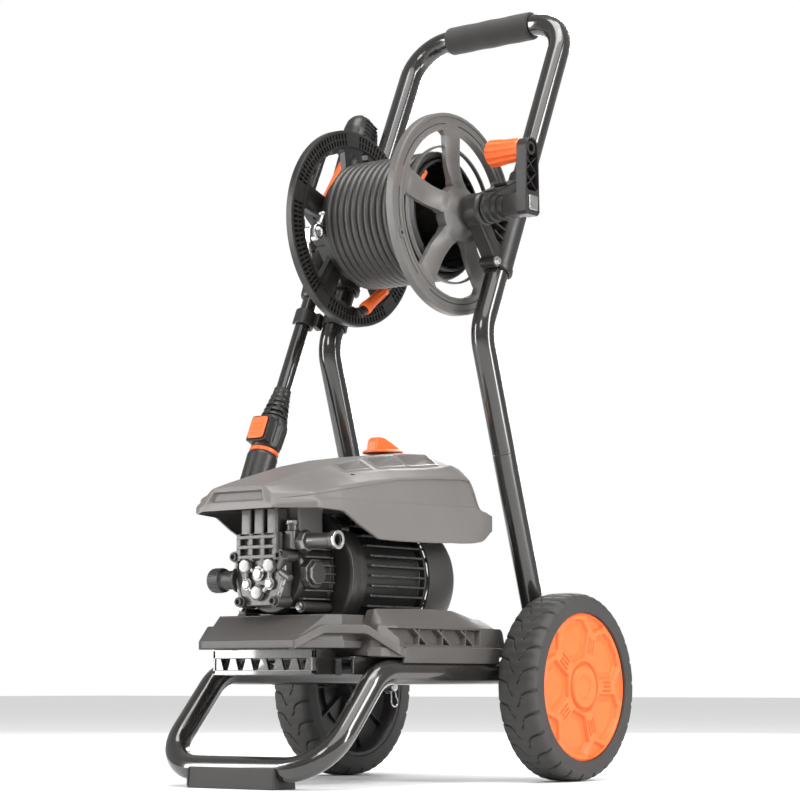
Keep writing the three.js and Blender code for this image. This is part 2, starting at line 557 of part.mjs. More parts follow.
function reel() {
  const bore = SHAFT_RADIUS + 0.2
  add('reel_core', turnedX([[bore, -73], [CORE_RADIUS, -73], [CORE_RADIUS, 73], [CORE_RADIUS - 3, 73],
    [CORE_RADIUS - 3, -70],
    [24, -70], [20, 70], [bore, 70]], REEL_Y, REEL_Z, 24), BLACK)
  const flangeHub = (x0, x1, r0, r1) => cut(alongX(x0, x1, REEL_Y, REEL_Z, r0, r1, 24),
    alongX(x0 - 50, x1 + 50, REEL_Y, REEL_Z, bore, bore, 16))
  add('reel_flange_right', join(flange(FLANGE_X - 6, FLANGE_X + 5, 106, 34, 15),
    flangeHub(FLANGE_X, 103, 34, 18)), GREY)
  add('reel_flange_left', join(flange(-FLANGE_X - 5, -FLANGE_X + 6, 104, 34, 15),
    flangeHub(-103, -FLANGE_X, 18, 34)), BLACK)
  add('reel_shaft', alongX(-112, 172, REEL_Y, REEL_Z, SHAFT_RADIUS, SHAFT_RADIUS, 20), STEEL)

  for (const [side, name] of [[-1, 'left'], [1, 'right']]) bracket(side, name)

  // drive collars and the crank with its grip turned inwards
  const collars = join(alongX(133.5, 146, REEL_Y, REEL_Z, 17, 17, 18),
    alongX(145, 156, REEL_Y, REEL_Z, 15, 15, 18),
    alongX(155, 165, REEL_Y, REEL_Z, 13.5, 13.5, 18))
  const armIn = 185.5
  const armOut = 200
  const topZ = REEL_Z + CRANK_LENGTH
  const outline = []
  for (let k = 0; k <= 10; k++) {
    const angle = Math.PI * k / 10
    outline.push([REEL_Y + 13 * Math.cos(angle), topZ + 13 * Math.sin(angle)])
  }
  outline.push([REEL_Y - 15, REEL_Z - 15], [REEL_Y + 15, REEL_Z - 15])
  const arm = cut(join(collars, plateX(outline, armIn, armOut),
    block([164.3, armIn + 1], [REEL_Y - 13, REEL_Y + 13], [REEL_Z - 13, REEL_Z + 13])),
    plateX([[REEL_Y + 9.5, topZ], [REEL_Y + 6, topZ + 8], [REEL_Y, topZ + 10], [REEL_Y - 6, topZ + 8],
      [REEL_Y - 9.5, topZ],
      [REEL_Y - 11, REEL_Z + 18], [REEL_Y + 11, REEL_Z + 18]], armIn + 4, armOut + 2),
    alongX(130, 172.5, REEL_Y, REEL_Z, bore, bore, 16), alongX(170, 210, REEL_Y, REEL_Z, 3.2, 3.2, 10),
    alongX(192, 210, REEL_Y, REEL_Z, 8.3, 8.3, 16))
  add('crank_arm', join(arm, alongX(142, armIn + 1, REEL_Y, topZ, 4, 4, 12)), BLACK)
  add('crank_screw', join(alongX(192.3, 197, REEL_Y, REEL_Z, 8, 8, 16),
    alongX(173, 193, REEL_Y, REEL_Z, 3, 3, 10)), STEEL)
  add('crank_grip', turnedX([[4.3, 138.6], [15.5, 138.6], [16.8, 142], [15, 160], [14, armIn - GAP],
    [4.3, armIn - GAP]],
    REEL_Y, topZ, 18), ORANGE)

  // the wound hose, its bend protector and the fitting parked at the rim
  const wound = CORE_RADIUS + GAP * 3
  add('hose_winding', turnedX([[wound, -66], [wound + HOSE_DIAMETER, -66], [wound + HOSE_DIAMETER, 69],
    [wound, 69]], REEL_Y, REEL_Z, 32), HOSE)
  const tailStart = [-61, -59.6, 620.2]
  const tailEnd = [-63, -99.7, 590]
  add('hose_bend_protector', rod(tailStart, tailEnd, 5.5, 8, 14), ORANGE)
  const beyond = (d) => tailEnd.map((v, i) => v + (tailEnd[i] - tailStart[i]) * d)
  add('hose_fitting', rod(beyond(0.01), beyond(0.3), 6, 6, 12), BLACK)
}

function bracket(side, name) {
  const span = side > 0 ? [107, 133] : [-133, -107]
  const sleeveRadius = TUBE_RADIUS + 2.6
  const z0 = 622
  const z1 = 752
  const foot = [side * SIDE_X, handleY(z0), z0]
  const head = [side * SIDE_X, handleY(z1), z1]
  const outline = [[REEL_Y - 12, REEL_Z - 14], [handleY(z0) - 6, z0 + 4], [handleY(z0) + 8, z0 + 8],
    [handleY(z1), z1 - 6],
    [handleY(z1) - 16, z1 - 4], [REEL_Y - 8, REEL_Z + 17]]
  const window = new THREE.Path([[REEL_Y + 26, REEL_Z - 16], [handleY(660) - 22, 664],
    [handleY(730) - 24, 728],
    [REEL_Y + 26, REEL_Z + 12]].map(([y, z]) => new THREE.Vector2(y, z)))
  const web = plateX(outline, span[0] + 5, span[1] - 5, [window])
  const body = join(web, alongX(span[0], span[1], REEL_Y, REEL_Z, 20, 20, 18),
    rod(foot, head, sleeveRadius, sleeveRadius, 16))
  const past = (z) => [side * SIDE_X, handleY(z), z]
  add(`reel_bracket_${name}`, cut(body,
    rod(past(z0 - 20), past(z1 + 20), TUBE_RADIUS + GAP * 2, TUBE_RADIUS + GAP * 2, 16),
    alongX(side * 90, side * 150, REEL_Y, REEL_Z, side > 0 ? SHAFT_RADIUS + 0.4 : 9,
      side > 0 ? SHAFT_RADIUS + 0.4 : 9, 16)), BLACK)
  if (side < 0) {
    // water enters the reel through a swivel on the left
    const swivel = join(alongX(-112.4, -146, REEL_Y, REEL_Z, 8.6, 8.6, 18),
      block([-158, -140], [REEL_Y - 10, REEL_Y + 10], [REEL_Z - 12, REEL_Z + 10]),
      alongZ(REEL_Z - 36, REEL_Z - 8, -149, REEL_Y, 8, 8, 16))
    add('reel_swivel', cut(swivel, alongZ(REEL_Z - 40, REEL_Z, -149, REEL_Y, 4, 4, 12)), STEEL)
  }
}

// ---- spray gun and lance ---------------------------------------------------------------------------
// Drawn with the lance along +Z from its tip, then leaned back and set beside the left upright.
function inLanceFrame(solid) {
  return solid.rotate([-LANCE_LEAN * 180 / Math.PI, 0, 0]).translate([LANCE_X, LANCE_TIP_Y, LANCE_TIP_Z])
}

function sprayGun() {
  const addLance = (name, solid, material) => add(name, inLanceFrame(solid), material)
  const along = (z0, z1, r0, r1 = r0, sides = 18) => rod([0, 0, z0], [0, 0, z1], r0, r1, sides)
  addLance('nozzle_barrel', cut(join(along(0, 74, 19, 19.8), along(73, 79, 18)), along(-1, 10, 5)), BLACK)
  const collar = join(along(79.3, 126, 18.2, 19.5), block([-15.5, 15.5], [-24, 0], [84, 120]))
  const ribs = []
  for (let k = 0; k < 5; k++) {
    const z = 125 + k * 8.5
    const r = 17 - k * 1.2
    ribs.push(along(z, z + 5, r, r - 0.5, 10), along(z + 3, z + 9, 11.4, 11.4, 10))
  }
  addLance('coupling_collar', cut(join(collar, ...ribs), block([-13, 13], [-30, -18], [86.5, 117.5]),
    along(120, 180, 10)), BLACK)
  addLance('release_button', block([-12.5, 12.5], [-26.5, -21], [87, 117]), ORANGE)
  addLance('lance_tube', cut(along(126.5, 318, 9.6), along(120, 325, 6)), BLACK)

  // the gun body carries on up from the lance and ends in the rounded butt of the grip
  const section = (z, half, front, back) => {
    const ring = []
    for (let k = 0; k < 12; k++) {
      const a = Math.PI * 2 * k / 12
      const y = Math.sin(a)
      ring.push([half * Math.cos(a), y > 0 ? back * y : front * y, z])
    }
    return ring
  }
  const body = loftZ([section(304, 13, 13, 13), section(330, 14, 15, 15), section(400, 16, 18, 20),
    section(440, 17, 18, 27),
    section(520, 17, 21, 29), section(560, 18, 26, 30), section(578, 15, 22, 23), section(588, 7, 10, 8)])
  const guard = cut(block([-7, 7], [-62, -10], [396, 524]), block([-8, 8], [-55, -16], [404, 516]))
  const gun = cut(join(body, guard), along(300, 318.5, 9.9), block([-4.6, 4.6], [-40, -4], [418, 518]),
    block([-4.6, 4.6], [10, 40], [430, 462]))
  addLance('gun_body', gun, BLACK)
  const triggerShape = [[-7, 508], [-12, 512], [-20, 508], [-24, 480], [-31, 440], [-27, 424], [-23, 440],
    [-18, 478], [-9, 484]]
  addLance('trigger', plateX(triggerShape, -4, 4), ORANGE)
  addLance('trigger_lock', block([-4, 4], [12, 34], [433, 449]), ORANGE)

  // a spring clip on the left upright holds the lance tube
  const clipAt = 262
  const clip = cut(along(clipAt, clipAt + 22, 14, 14, 16), along(clipAt - 5, clipAt + 30, 10.3, 10.3, 16),
    block([-30, -4], [-20, 20], [clipAt - 5, clipAt + 30]))
  const clipArm = block([9, 22], [2, 16], [clipAt, clipAt + 22])
  const tubeRun = (z) => [-SIDE_X, handleY(z), z]
  const clamp = rod(tubeRun(572), tubeRun(598), TUBE_RADIUS + 3, TUBE_RADIUS + 3, 16)
  const tubeHole = rod(tubeRun(550), tubeRun(620), TUBE_RADIUS + GAP * 2, TUBE_RADIUS + GAP * 2, 16)
  add('lance_clip', cut(join(inLanceFrame(join(clip, clipArm)), clamp), tubeHole,
    inLanceFrame(along(clipAt - 5, clipAt + 30, 10.3, 10.3, 16))), BLACK)
}

const loftZ = (rings) => {
  const turnedRings = rings.map((ring) => ring.map(([x, y, z]) => [x, z, -y]))
  return loft(turnedRings).rotate([90, 0, 0])
}

frameTubes()
wheel(-1, 'left')
wheel(1, 'right')
deckAndCradle()
motor()
pump()
hood()
reel()
sprayGun()

export default machine
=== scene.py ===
"""A wheeled electric pressure washer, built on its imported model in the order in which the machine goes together.

Shapes are drawn in millimetres from the wheels' axle line, +X to the machine's right,
    +Y to the user behind it
and +Z up, and each finished piece is put into the frame's metres as it becomes a mesh.
"""
import math

import bpy
import numpy as np
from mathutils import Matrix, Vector


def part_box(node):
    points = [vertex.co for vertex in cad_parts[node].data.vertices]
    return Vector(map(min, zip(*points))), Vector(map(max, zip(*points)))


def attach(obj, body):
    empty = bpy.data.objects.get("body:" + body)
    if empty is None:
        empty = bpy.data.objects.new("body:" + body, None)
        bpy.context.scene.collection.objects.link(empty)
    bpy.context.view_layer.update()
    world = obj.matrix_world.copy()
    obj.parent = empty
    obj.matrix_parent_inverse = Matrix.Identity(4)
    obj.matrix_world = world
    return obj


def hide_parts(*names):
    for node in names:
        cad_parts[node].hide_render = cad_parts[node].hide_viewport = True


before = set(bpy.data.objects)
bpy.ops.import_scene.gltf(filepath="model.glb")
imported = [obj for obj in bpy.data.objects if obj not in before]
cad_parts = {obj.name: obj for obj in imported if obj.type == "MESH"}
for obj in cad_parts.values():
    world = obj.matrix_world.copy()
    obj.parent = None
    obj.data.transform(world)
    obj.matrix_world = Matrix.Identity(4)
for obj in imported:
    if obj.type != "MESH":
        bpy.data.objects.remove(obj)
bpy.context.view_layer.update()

# ---- camera -------------------------------------------------------------------------------------------
# A long lens set low in front of the machine's right-hand side, so that the washer stands over it a little.
# It looks up at the middle of the frame; nothing is shifted or out of focus.
lens = bpy.data.cameras.new("studio_camera")
lens.sensor_width = 36
lens.lens = 108.8
camera = bpy.data.objects.new("studio_camera", lens)
camera.location = (1.8198, -2.3293, 0.1142)
aim = Vector((0.0329, 0.0040, 0.4625)) - camera.location
camera.rotation_euler = aim.to_track_quat("-Z", "Y").to_euler()
lens.clip_start = 0.05
lens.clip_end = 60
bpy.context.scene.collection.objects.link(camera)
bpy.context.scene.camera = camera


# ---- shader wiring ------------------------------------------------------------------------------------
# Every finish is a small network of shader nodes. Arithmetic on a wire adds the Math node that it needs, and
# node() makes all the others.
class Wire:
    """One output of a material's nodes."""

    def __init__(self, tree, socket=None):
        self.tree = tree
        self.socket = socket

    def node(self, kind, settings=None, inputs=None, out=0):
        """Makes a node: its settings first, its ramp stops, then what goes into its sockets by name or place."""
        made = self.tree.nodes.new(kind)
        for key, value in (settings or {}).items():
            if key == "stops":
                stops = made.color_ramp.elements
                while len(stops) < len(value):
                    stops.new(1.0)
                for stop, (place, shade) in zip(stops, value):
                    stop.position = place
                    stop.color = (shade, shade, shade, 1) if isinstance(shade, (int, float)) else (*shade, 1)
            else:
                setattr(made, key, value)
        for key, value in (inputs or {}).items():
            socket = made.inputs[key]
            if isinstance(value, Wire):
                self.tree.links.new(value.socket, socket)
            elif value is not None:
                socket.default_value = value
        return Wire(self.tree, made.outputs[out])

    def math(self, operation, *others, clamp=False):
        inputs = dict(enumerate([self, *others]))
        return self.node("ShaderNodeMath", {"operation": operation, "use_clamp": clamp}, inputs)

    def __add__(self, other):
        return self.math("ADD", other)

    def __sub__(self, other):
        return self.math("SUBTRACT", other)

    def __mul__(self, other):
        return self.math("MULTIPLY", other)

    def __truediv__(self, other):
        return self.math("DIVIDE", other)

    def __rsub__(self, other):
        return self.node("ShaderNodeMath", {"operation": "SUBTRACT"}, {0: other, 1: self})

    __radd__ = __add__
    __rmul__ = __mul__

    def between(self, low, high):
        """0 where this is below low, 1 above high, and a smooth step from one to the other."""
        settings = {"interpolation_type": "SMOOTHSTEP"}
        return self.node("ShaderNodeMapRange", settings, {"Value": self, "From Min": low, "From Max": high})

    def noise(self, scale, detail=2.0, roughness=0.5, distortion=0.0):
        """Cloudy noise from 0 to 1, scale bumps to a metre, at the place that this wire gives."""
        inputs = {"Vector": self, "Scale": scale, "Detail": detail, "Roughness": roughness,
                  "Distortion": distortion}
        return self.node("ShaderNodeTexNoise", None, inputs, "Fac")

    def mixed(self, low, high):
        """The colour low where this is 0 and high where it is 1."""
        shades = {k: (*v, 1) if isinstance(v, tuple) else v for k, v in {"A": low, "B": high}.items()}
        settings = {"data_type": "RGBA"}
        return self.node("ShaderNodeMix", settings, {0: self, 6: shades["A"], 7: shades["B"]}, 2)


def finish(name, **fixed):
    """A new material: its wire to draw from, its principled shader, and the object's own coordinates."""
    material = bpy.data.materials.new(name)
    material.use_nodes = True
    tree = material.node_tree
    shader = tree.nodes["Principled BSDF"]
    for socket, value in fixed.items():
        shader.inputs[socket.replace("_", " ")].default_value = value
    wire = Wire(tree)
    place = wire.node("ShaderNodeTexCoord", None, None, "Object")
    return material, shader, place


def settle(material, shader, colour=None, roughness=None, height=None, depth=0.0001, metallic=None,
           strength=1.0):
    """Wires what varies over the surface into the shader; height is raised or sunk by depth metres."""
    tree = material.node_tree
    for socket, wire in (("Base Color", colour), ("Roughness", roughness), ("Metallic", metallic)):
        if wire is not None:
            tree.links.new(wire.socket, shader.inputs[socket])
    if height is not None:
        bump = height.node("ShaderNodeBump", None, {"Strength": strength, "Distance": depth,
                                                    "Height": height})
        tree.links.new(bump.socket, shader.inputs["Normal"])
    return material


# ---- floor and studio light ---------------------------------------------------------------------------
# The washer stands on a pale matt sheet in a white room. A tall soft panel stands on each side, one fills the
# front and one hangs overhead, and they draw the long white lines down the painted tubes.
def floor_sheet():
    material, shader, place = finish("pale_floor")
    cloud = place.noise(2.5, 3.0)
    colour = cloud.mixed((0.86, 0.86, 0.86), (0.90, 0.90, 0.90))
    return settle(material, shader, colour, cloud * 0.1 + 0.75)


sheet_size = 40.0
corners = np.array([(-1, -1, 0), (1, -1, 0), (1, 1, 0), (-1, 1, 0)]) * sheet_size / 2
floor_mesh = bpy.data.meshes.new("floor")
floor_mesh.from_pydata(corners.tolist(), [], [(0, 1, 2, 3)])
floor = bpy.data.objects.new("floor", floor_mesh)
floor.data.materials.append(floor_sheet())
bpy.context.scene.collection.objects.link(floor)


def soft_panel(name, place, aim, width, height, power):
    lamp = bpy.data.lights.new(name, "AREA")
    lamp.shape = "RECTANGLE"
    lamp.size = width
    lamp.size_y = height
    lamp.energy = power
    panel = bpy.data.objects.new(name, lamp)
    panel.location = place
    panel.rotation_euler = (Vector(aim) - Vector(place)).to_track_quat("-Z", "Y").to_euler()
    bpy.context.scene.collection.objects.link(panel)


MIDDLE = (0, 0, 0.45)
soft_panel("left_strip", (-1.7, -1.9, 1.0), MIDDLE, 0.35, 2.2, 40)
soft_panel("right_strip", (2.4, 0.3, 1.2), MIDDLE, 0.45, 2.4, 60)
soft_panel("front_panel", (0.9, -3.3, 2.2), MIDDLE, 1.0, 1.0, 30)
soft_panel("overhead_panel", (0.2, -0.2, 3.0), MIDDLE, 1.6, 1.6, 45)
soft_panel("back_strip", (-1.2, 2.4, 1.4), MIDDLE, 0.4, 2.2, 36)

sun = bpy.data.lights.new("room_light", "SUN")
sun.energy = 1.5
sun.angle = math.radians(50)
room_light = bpy.data.objects.new("room_light", sun)
room_light.rotation_euler = Vector((-0.45, 0.35, -1.0)).to_track_quat("-Z", "Y").to_euler()
bpy.context.scene.collection.objects.link(room_light)

# the room's walls look white, but light the machine more softly than they look
room = bpy.data.worlds.new("white_room")
bpy.context.scene.world = room
room.use_nodes = True
walls = Wire(room.node_tree)
seen = walls.node("ShaderNodeLightPath", None, None, "Is Camera Ray")
room.node_tree.nodes["Background"].inputs["Color"].default_value = (1, 1, 1, 1)
room.node_tree.links.new((seen * 0.62 + 0.38).socket, room.node_tree.nodes["Background"].inputs["Strength"])
bpy.context.scene.view_settings.view_transform = "Standard"


# ---- wound hose ---------------------------------------------------------------------------------------
# A 10 mm high-pressure hose, rubber over braid, wound on the reel's core in thirteen turns. Its free end is
# slipped through an orange bend protector and parked in its fitting at the left flange's rim.
axle_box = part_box("axle_right")
AXLE_Y = (axle_box[0].y + axle_box[1].y) / 2 * 1000
REEL_Y = (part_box("reel_core")[0].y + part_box("reel_core")[1].y) / 2 * 1000 - AXLE_Y
REEL_Z = (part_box("reel_core")[0].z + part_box("reel_core")[1].z) / 2 * 1000


def skin(rings, joined=False):
    """The surface through rings of points: (i, k) is point k of ring i, and four neighbours make a face.

    Each end is closed by a flat face, or, if joined, the last ring goes back to the first.
    """
    rings = np.asarray(rings, float)
    count, sides = rings.shape[:2]
    i, k = np.meshgrid(np.arange(count if joined else count - 1), np.arange(sides), indexing="ij")
    after = (i + 1) % count
    beside = (k + 1) % sides
    quads = np.stack([i * sides + k, i * sides + beside, after * sides + beside, after * sides + k], -1)
    faces = [quads.reshape(-1, 4)]
    if not joined:
        faces += [np.arange(sides)[None, ::-1], (count - 1) * sides + np.arange(sides)[None]]
    return rings.reshape(-1, 3), faces


def carried(path, section):
    """A section (u, v) carried along a path: path(t) + u side(t) + v up(t), where side starts square to the path
    and is turned from step to step by the least turn that keeps it square."""
    path = np.asarray(path, float)
    ahead = np.gradient(path, axis=0)
    ahead /= np.linalg.norm(ahead, axis=1)[:, None]
    side = np.empty_like(ahead)
    guess = np.array([1.0, 0, 0]) if abs(ahead[0, 0]) < 0.8 else np.array([0, 0, 1.0])
    for t, direction in enumerate(ahead):
        guess = guess - (guess @ direction) * direction
        guess /= np.linalg.norm(guess)
        side[t] = guess
    up = np.cross(ahead, side)
    section = np.asarray(section, float)
    if section.ndim == 2:
        section = np.broadcast_to(section, (len(path), *section.shape))
    return path[:, None] + section[..., :1] * side[:, None] + section[..., 1:] * up[:, None]


def circle(radius, sides):
    """(radius cos a, radius sin a) for equal steps of a."""
    angle = np.arange(sides) * 2 * np.pi / sides
    return np.stack([radius * np.cos(angle), radius * np.sin(angle)], -1)


def tube(path, radius, sides=24):
    """A round bar or tube along a path."""
    return skin(carried(path, circle(radius, sides)))


def piece(name, surfaces, material, body, *stands_for, slot=None, smooth=35, weighted=True):
    """Joins closed surfaces, turns each one's faces outwards, and puts them in the frame as one piece."""
    points, loops, sizes, base = [], [], [], 0
    for surface, faces in surfaces:
        volume = 0.0
        for face in faces:
            corner = surface[face]
            volume += np.einsum("fi,fji->", corner[:, 0], np.cross(corner[:, 1:-1], corner[:, 2:]))
        for face in faces:
            face = face[:, ::-1] if volume < 0 else face
            loops.append((face + base).ravel())
            sizes.append(np.full(len(face), face.shape[1]))
        points.append(surface)
        base += len(surface)
    points = (np.concatenate(points) + (0, AXLE_Y, 0)) / 1000
    loops, sizes = np.concatenate(loops), np.concatenate(sizes)
    mesh = bpy.data.meshes.new(name)
    mesh.vertices.add(len(points))
    mesh.vertices.foreach_set("co", points.astype(np.float32).ravel())
    mesh.loops.add(len(loops))
    mesh.loops.foreach_set("vertex_index", loops.astype(np.int32))
    mesh.polygons.add(len(sizes))
    mesh.polygons.foreach_set("loop_start", np.concatenate([[0], np.cumsum(sizes)[:-1]]).astype(np.int32))
    mesh.update(calc_edges=True)
    mesh.shade_smooth()
    mesh.set_sharp_from_angle(angle=math.radians(smooth))
    mesh.materials.append(material)
    made = bpy.data.objects.new(name, mesh)
    bpy.context.scene.collection.objects.link(made)
    if weighted:
        made.modifiers.new("flat_faces", "WEIGHTED_NORMAL").keep_sharp = True
    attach(made, body)
    if stands_for:
        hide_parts(*stands_for)
    return made


def rubber_hose():
    """Satin dark rubber with the ghost of its braid: two crossed sets of fine waves along the hose."""
    material, shader, place = finish("rubber_hose")
    cloud = place.noise(60, 3.0)
    fine = place.noise(2400, 2.0)
    colour = cloud.mixed((0.030, 0.028, 0.026), (0.046, 0.043, 0.040))
    return settle(material, shader, colour, cloud * 0.12 + 0.30, fine, 0.00004)


HOSE = 10.0
TURNS = 12.6
coil_radius = 75.9
turned_by = np.linspace(0, 1, int(TURNS * 48))
lift = np.clip((turned_by - 1) * TURNS * 2 + 1, 0, 1)
dive = np.clip(1 - turned_by * TURNS * 12, 0, 1)
hose_radius = coil_radius + 11.2 * lift ** 2 * (3 - 2 * lift) - 9 * dive ** 2
hose_angle = math.radians(-59) + (1 - turned_by) * TURNS * 2 * np.pi
coil = np.stack([64.0 - 125.2 * turned_by, REEL_Y + hose_radius * np.cos(hose_angle),
                 REEL_Z + hose_radius * np.sin(hose_angle)], -1)
sleeve_start = np.array([-61.2, REEL_Y + 44.9, REEL_Z - 74.7])
sleeve_end = np.array([-63.0, REEL_Y + 4.8, REEL_Z - 104.9])
tail = sleeve_start + (sleeve_end - sleeve_start) * np.linspace(0.12, 1.02, 9)[:, None]
hose_path = np.concatenate([coil, tail])
hose = piece("high_pressure_hose", [tube(hose_path, HOSE / 2, 16)], rubber_hose(), "reel", "hose_winding",
             slot="hose_rubber", weighted=False)


def frame_of(along):
    """Two directions square to along, then along itself, as the rows of a matrix."""
    w = np.asarray({"x": (1, 0, 0), "y": (0, 1, 0), "z": (0, 0, 1)}.get(along, along) if isinstance(along,
            str)
                   else along, float)
    w = w / np.linalg.norm(w)
    u = {0: (0, 1, 0), 1: (1, 0, 0), 2: (1, 0, 0)}[int(np.abs(w).argmax())]
    u = np.asarray(u, float) - (u @ w) * w
    u /= np.linalg.norm(u)
    v = np.cross(w, u)
    if abs(v).max() > 0.999 and v.sum() < 0:
        v = -v
    return np.stack([u, v, w])


def rounded(corners, radius, steps=5, closed=True):
    """Each corner becomes (1-t)^2 start + 2t(1-t) corner + t^2 end, from radius before it to radius after it."""
    corner = np.asarray(corners, float)
    cut = np.broadcast_to(np.asarray(radius, float), len(corner)).copy()
    if not closed:
        cut[[0, -1]] = 0
    run = [np.roll(corner, shift, axis=0) - corner for shift in (1, -1)]
    length = [np.linalg.norm(r, axis=1)[:, None] for r in run]
    start, end = (corner + r / n * np.minimum(cut[:, None], 0.48 * n) for r, n in zip(run, length))
    t = np.linspace(0, 1, steps)[None, :, None]
    curve = (1 - t) ** 2 * start[:, None] + 2 * t * (1 - t) * corner[:, None] + t ** 2 * end[:, None]
    curve = curve.reshape(-1, corner.shape[1])
    kept = np.linalg.norm(np.diff(curve, axis=0, append=curve[:1] + 1e3 * (not closed)), axis=1) > 1e-6
    return curve[kept]


def turned(profile, at, along, sides=48, joined=False):
    """A turned piece: (r cos a, r sin a, h) for each profile point (r, h) and equal steps of a, about an axis."""
    profile = np.asarray(profile, float)
    ring = circle(1, sides)
    local = np.concatenate([profile[:, :1, None] * ring, np.broadcast_to(profile[:, 1:, None],
                                                                        (len(profile), sides, 1))], -1)
    return skin(local @ frame_of(along) + np.asarray(at, float), joined)


def bar(start, end, radius, end_radius=None, edge=0.6, sides=32):
    """A round bar from point to point with its end edges eased."""
    start, end = np.asarray(start, float), np.asarray(end, float)
    length = np.linalg.norm(end - start)
    last = radius if end_radius is None else end_radius
    profile = rounded([(radius * 0.4, 0), (radius, 0), (last, length), (last * 0.4, length)], edge, 4, False)
    return turned(profile, start, end - start, sides)


# The sleeve over the hose's last stretch is soft orange rubber, waisted, with a bead at each end; the fitting is a dark
# plastic collar on a ferrule, both in the black moulding.
def soft_orange(name="orange_plastic"):
    """Satin orange moulding with a fine grain and slightly paler, drier patches."""
    material, shader, place = finish(name)
    cloud = place.noise(35, 3.0)
    grain = place.noise(1500, 2.0)
    colour = cloud.mixed((0.86, 0.125, 0.018), (0.96, 0.165, 0.030))
    return settle(material, shader, colour, cloud * 0.16 + 0.30, grain, 0.00004)


def black_plastic():
    """Black glass-filled moulding: a fine spark texture, cloudy gloss."""
    material, shader, place = finish("black_plastic")
    cloud = place.noise(28, 4.0)
    spark = place.noise(1300, 3.0, 0.6)
    colour = cloud.mixed((0.012, 0.0115, 0.011), (0.024, 0.022, 0.021))
    return settle(material, shader, colour, cloud * 0.2 + 0.27, spark, 0.00006)


def bright_steel():
    """Zinc-plated steel: faint turning rings of gloss and a cloudy plating."""
    material, shader, place = finish("bright_steel", Metallic=1.0)
    cloud = place.noise(90, 4.0)
    colour = cloud.mixed((0.56, 0.56, 0.56), (0.72, 0.72, 0.71))
    return settle(material, shader, colour, cloud * 0.22 + 0.16, place.noise(900, 2.0), 0.00002)


orange = soft_orange()
black = black_plastic()
steel = bright_steel()

along_sleeve = sleeve_end - sleeve_start
sleeve_length = np.linalg.norm(along_sleeve)
waist = rounded([(5.2, 0), (7.0, 0), (7.0, 3), (6.0, 5), (7.6, sleeve_length - 12), (8.4, sleeve_length - 8),
                 (8.4, sleeve_length), (5.2, sleeve_length)], 0.8, 4, True)
flutes = [tube(sleeve_start + along_sleeve * np.linspace(0.16, 0.74, 12)[:, None] + offset, 0.9, 8)
          for offset in (circle(6.5, 8) @ frame_of(along_sleeve)[:2])]
sleeve = piece("hose_sleeve", [turned(waist, sleeve_start, along_sleeve, 40, True), *flutes], orange, "reel",
               "hose_bend_protector", slot="orange_plastic")
tip = sleeve_end + along_sleeve * 0.02
ferrule = [bar(tip, tip + along_sleeve * 0.17, 6.0, edge=1.0), bar(tip + along_sleeve * 0.16,
        tip + along_sleeve * 0.25, 4.6),
           turned([(4.7, 0), (6.0, 0.4), (6.0, 2.6), (4.7, 3.0)], tip + along_sleeve * 0.19, along_sleeve, 6,
                  True)]
fitting = piece("hose_fitting_end", ferrule, black, "reel", "hose_fitting", slot="black_plastic")


# ---- welded frame -------------------------------------------------------------------------------------
# 28.6 mm steel tube, bent cold, notched, welded and sprayed with a warm black gloss. The handle tube plugs
# into the two uprights, and the base tube is one bend from rail to front bar to rail.
def gloss_paint():
    """Gloss black over steel: cloudy pigment, orange peel in the lacquer, and a clear coat."""
    material, shader, place = finish("frame_paint", Coat_Weight=1.0, Coat_Roughness=0.03, Metallic=0.25)
    cloud = place.noise(14, 3.0)
    peel = place.noise(420, 2.0)
    dust = place.noise(160, 6.0, 0.7).between(0.60, 0.74)
    colour = cloud.mixed((0.016, 0.0145, 0.0135), (0.026, 0.024, 0.022))
    return settle(material, shader, colour, cloud * 0.1 + 0.16 + dust * 0.06, peel, 0.00012, strength=0.25)


def bent(corners, radius, steps=14):
    """Straight runs between corners, each corner an arc: centre - radius inward cos a + radius into sin a."""
    corner = np.asarray(corners, float)
    line = [corner[:1]]
    for before, here, after in zip(corner[:-2], corner[1:-1], corner[2:]):
        into = (here - before) / np.linalg.norm(here - before)
        out = (after - here) / np.linalg.norm(after - here)
        turn = math.acos(np.clip(into @ out, -1, 1))
        start = here - into * radius * math.tan(turn / 2)
        inward = out - into * math.cos(turn)
        inward /= np.linalg.norm(inward)
        a = np.linspace(0, turn, steps)[:, None]
        line.append(start + radius * inward * (1 - np.cos(a)) + radius * into * np.sin(a))
    line.append(corner[-1:])
    line = np.concatenate(line)
    run = np.concatenate([[0], np.cumsum(np.linalg.norm(np.diff(line, axis=0), axis=1))])
    even = np.unique(np.concatenate([run, np.arange(0, run[-1], 9.0)]))
    even = even[np.concatenate([[True], np.diff(even) > 0.6])]
    return np.stack([np.interp(even, run, line[:, axis]) for axis in range(3)], -1)


paint = gloss_paint()
TUBE = 14.3
SIDE = 120.4
RAIL_Z = 130.4
JOINT_Z = 401.0
FOOT_Y = 34.0
ELBOW = (-101.6, 545.0)
HANDLE = (94.75, 981.0)
BAR_Y = -403.4


def upright_y(z):
    return FOOT_Y + (ELBOW[0] - FOOT_Y) * (z - RAIL_Z) / (ELBOW[1] - RAIL_Z)


def handle_y(z):
    return ELBOW[0] + (HANDLE[0] - ELBOW[0]) * (z - ELBOW[1]) / (HANDLE[1] - ELBOW[1])


def both_sides(half):
    """A run of corners down one side of the machine, then the same back up the other side."""
    half = np.asarray(half, float)
    return np.concatenate([half * (-1, 1, 1), half[::-1]])


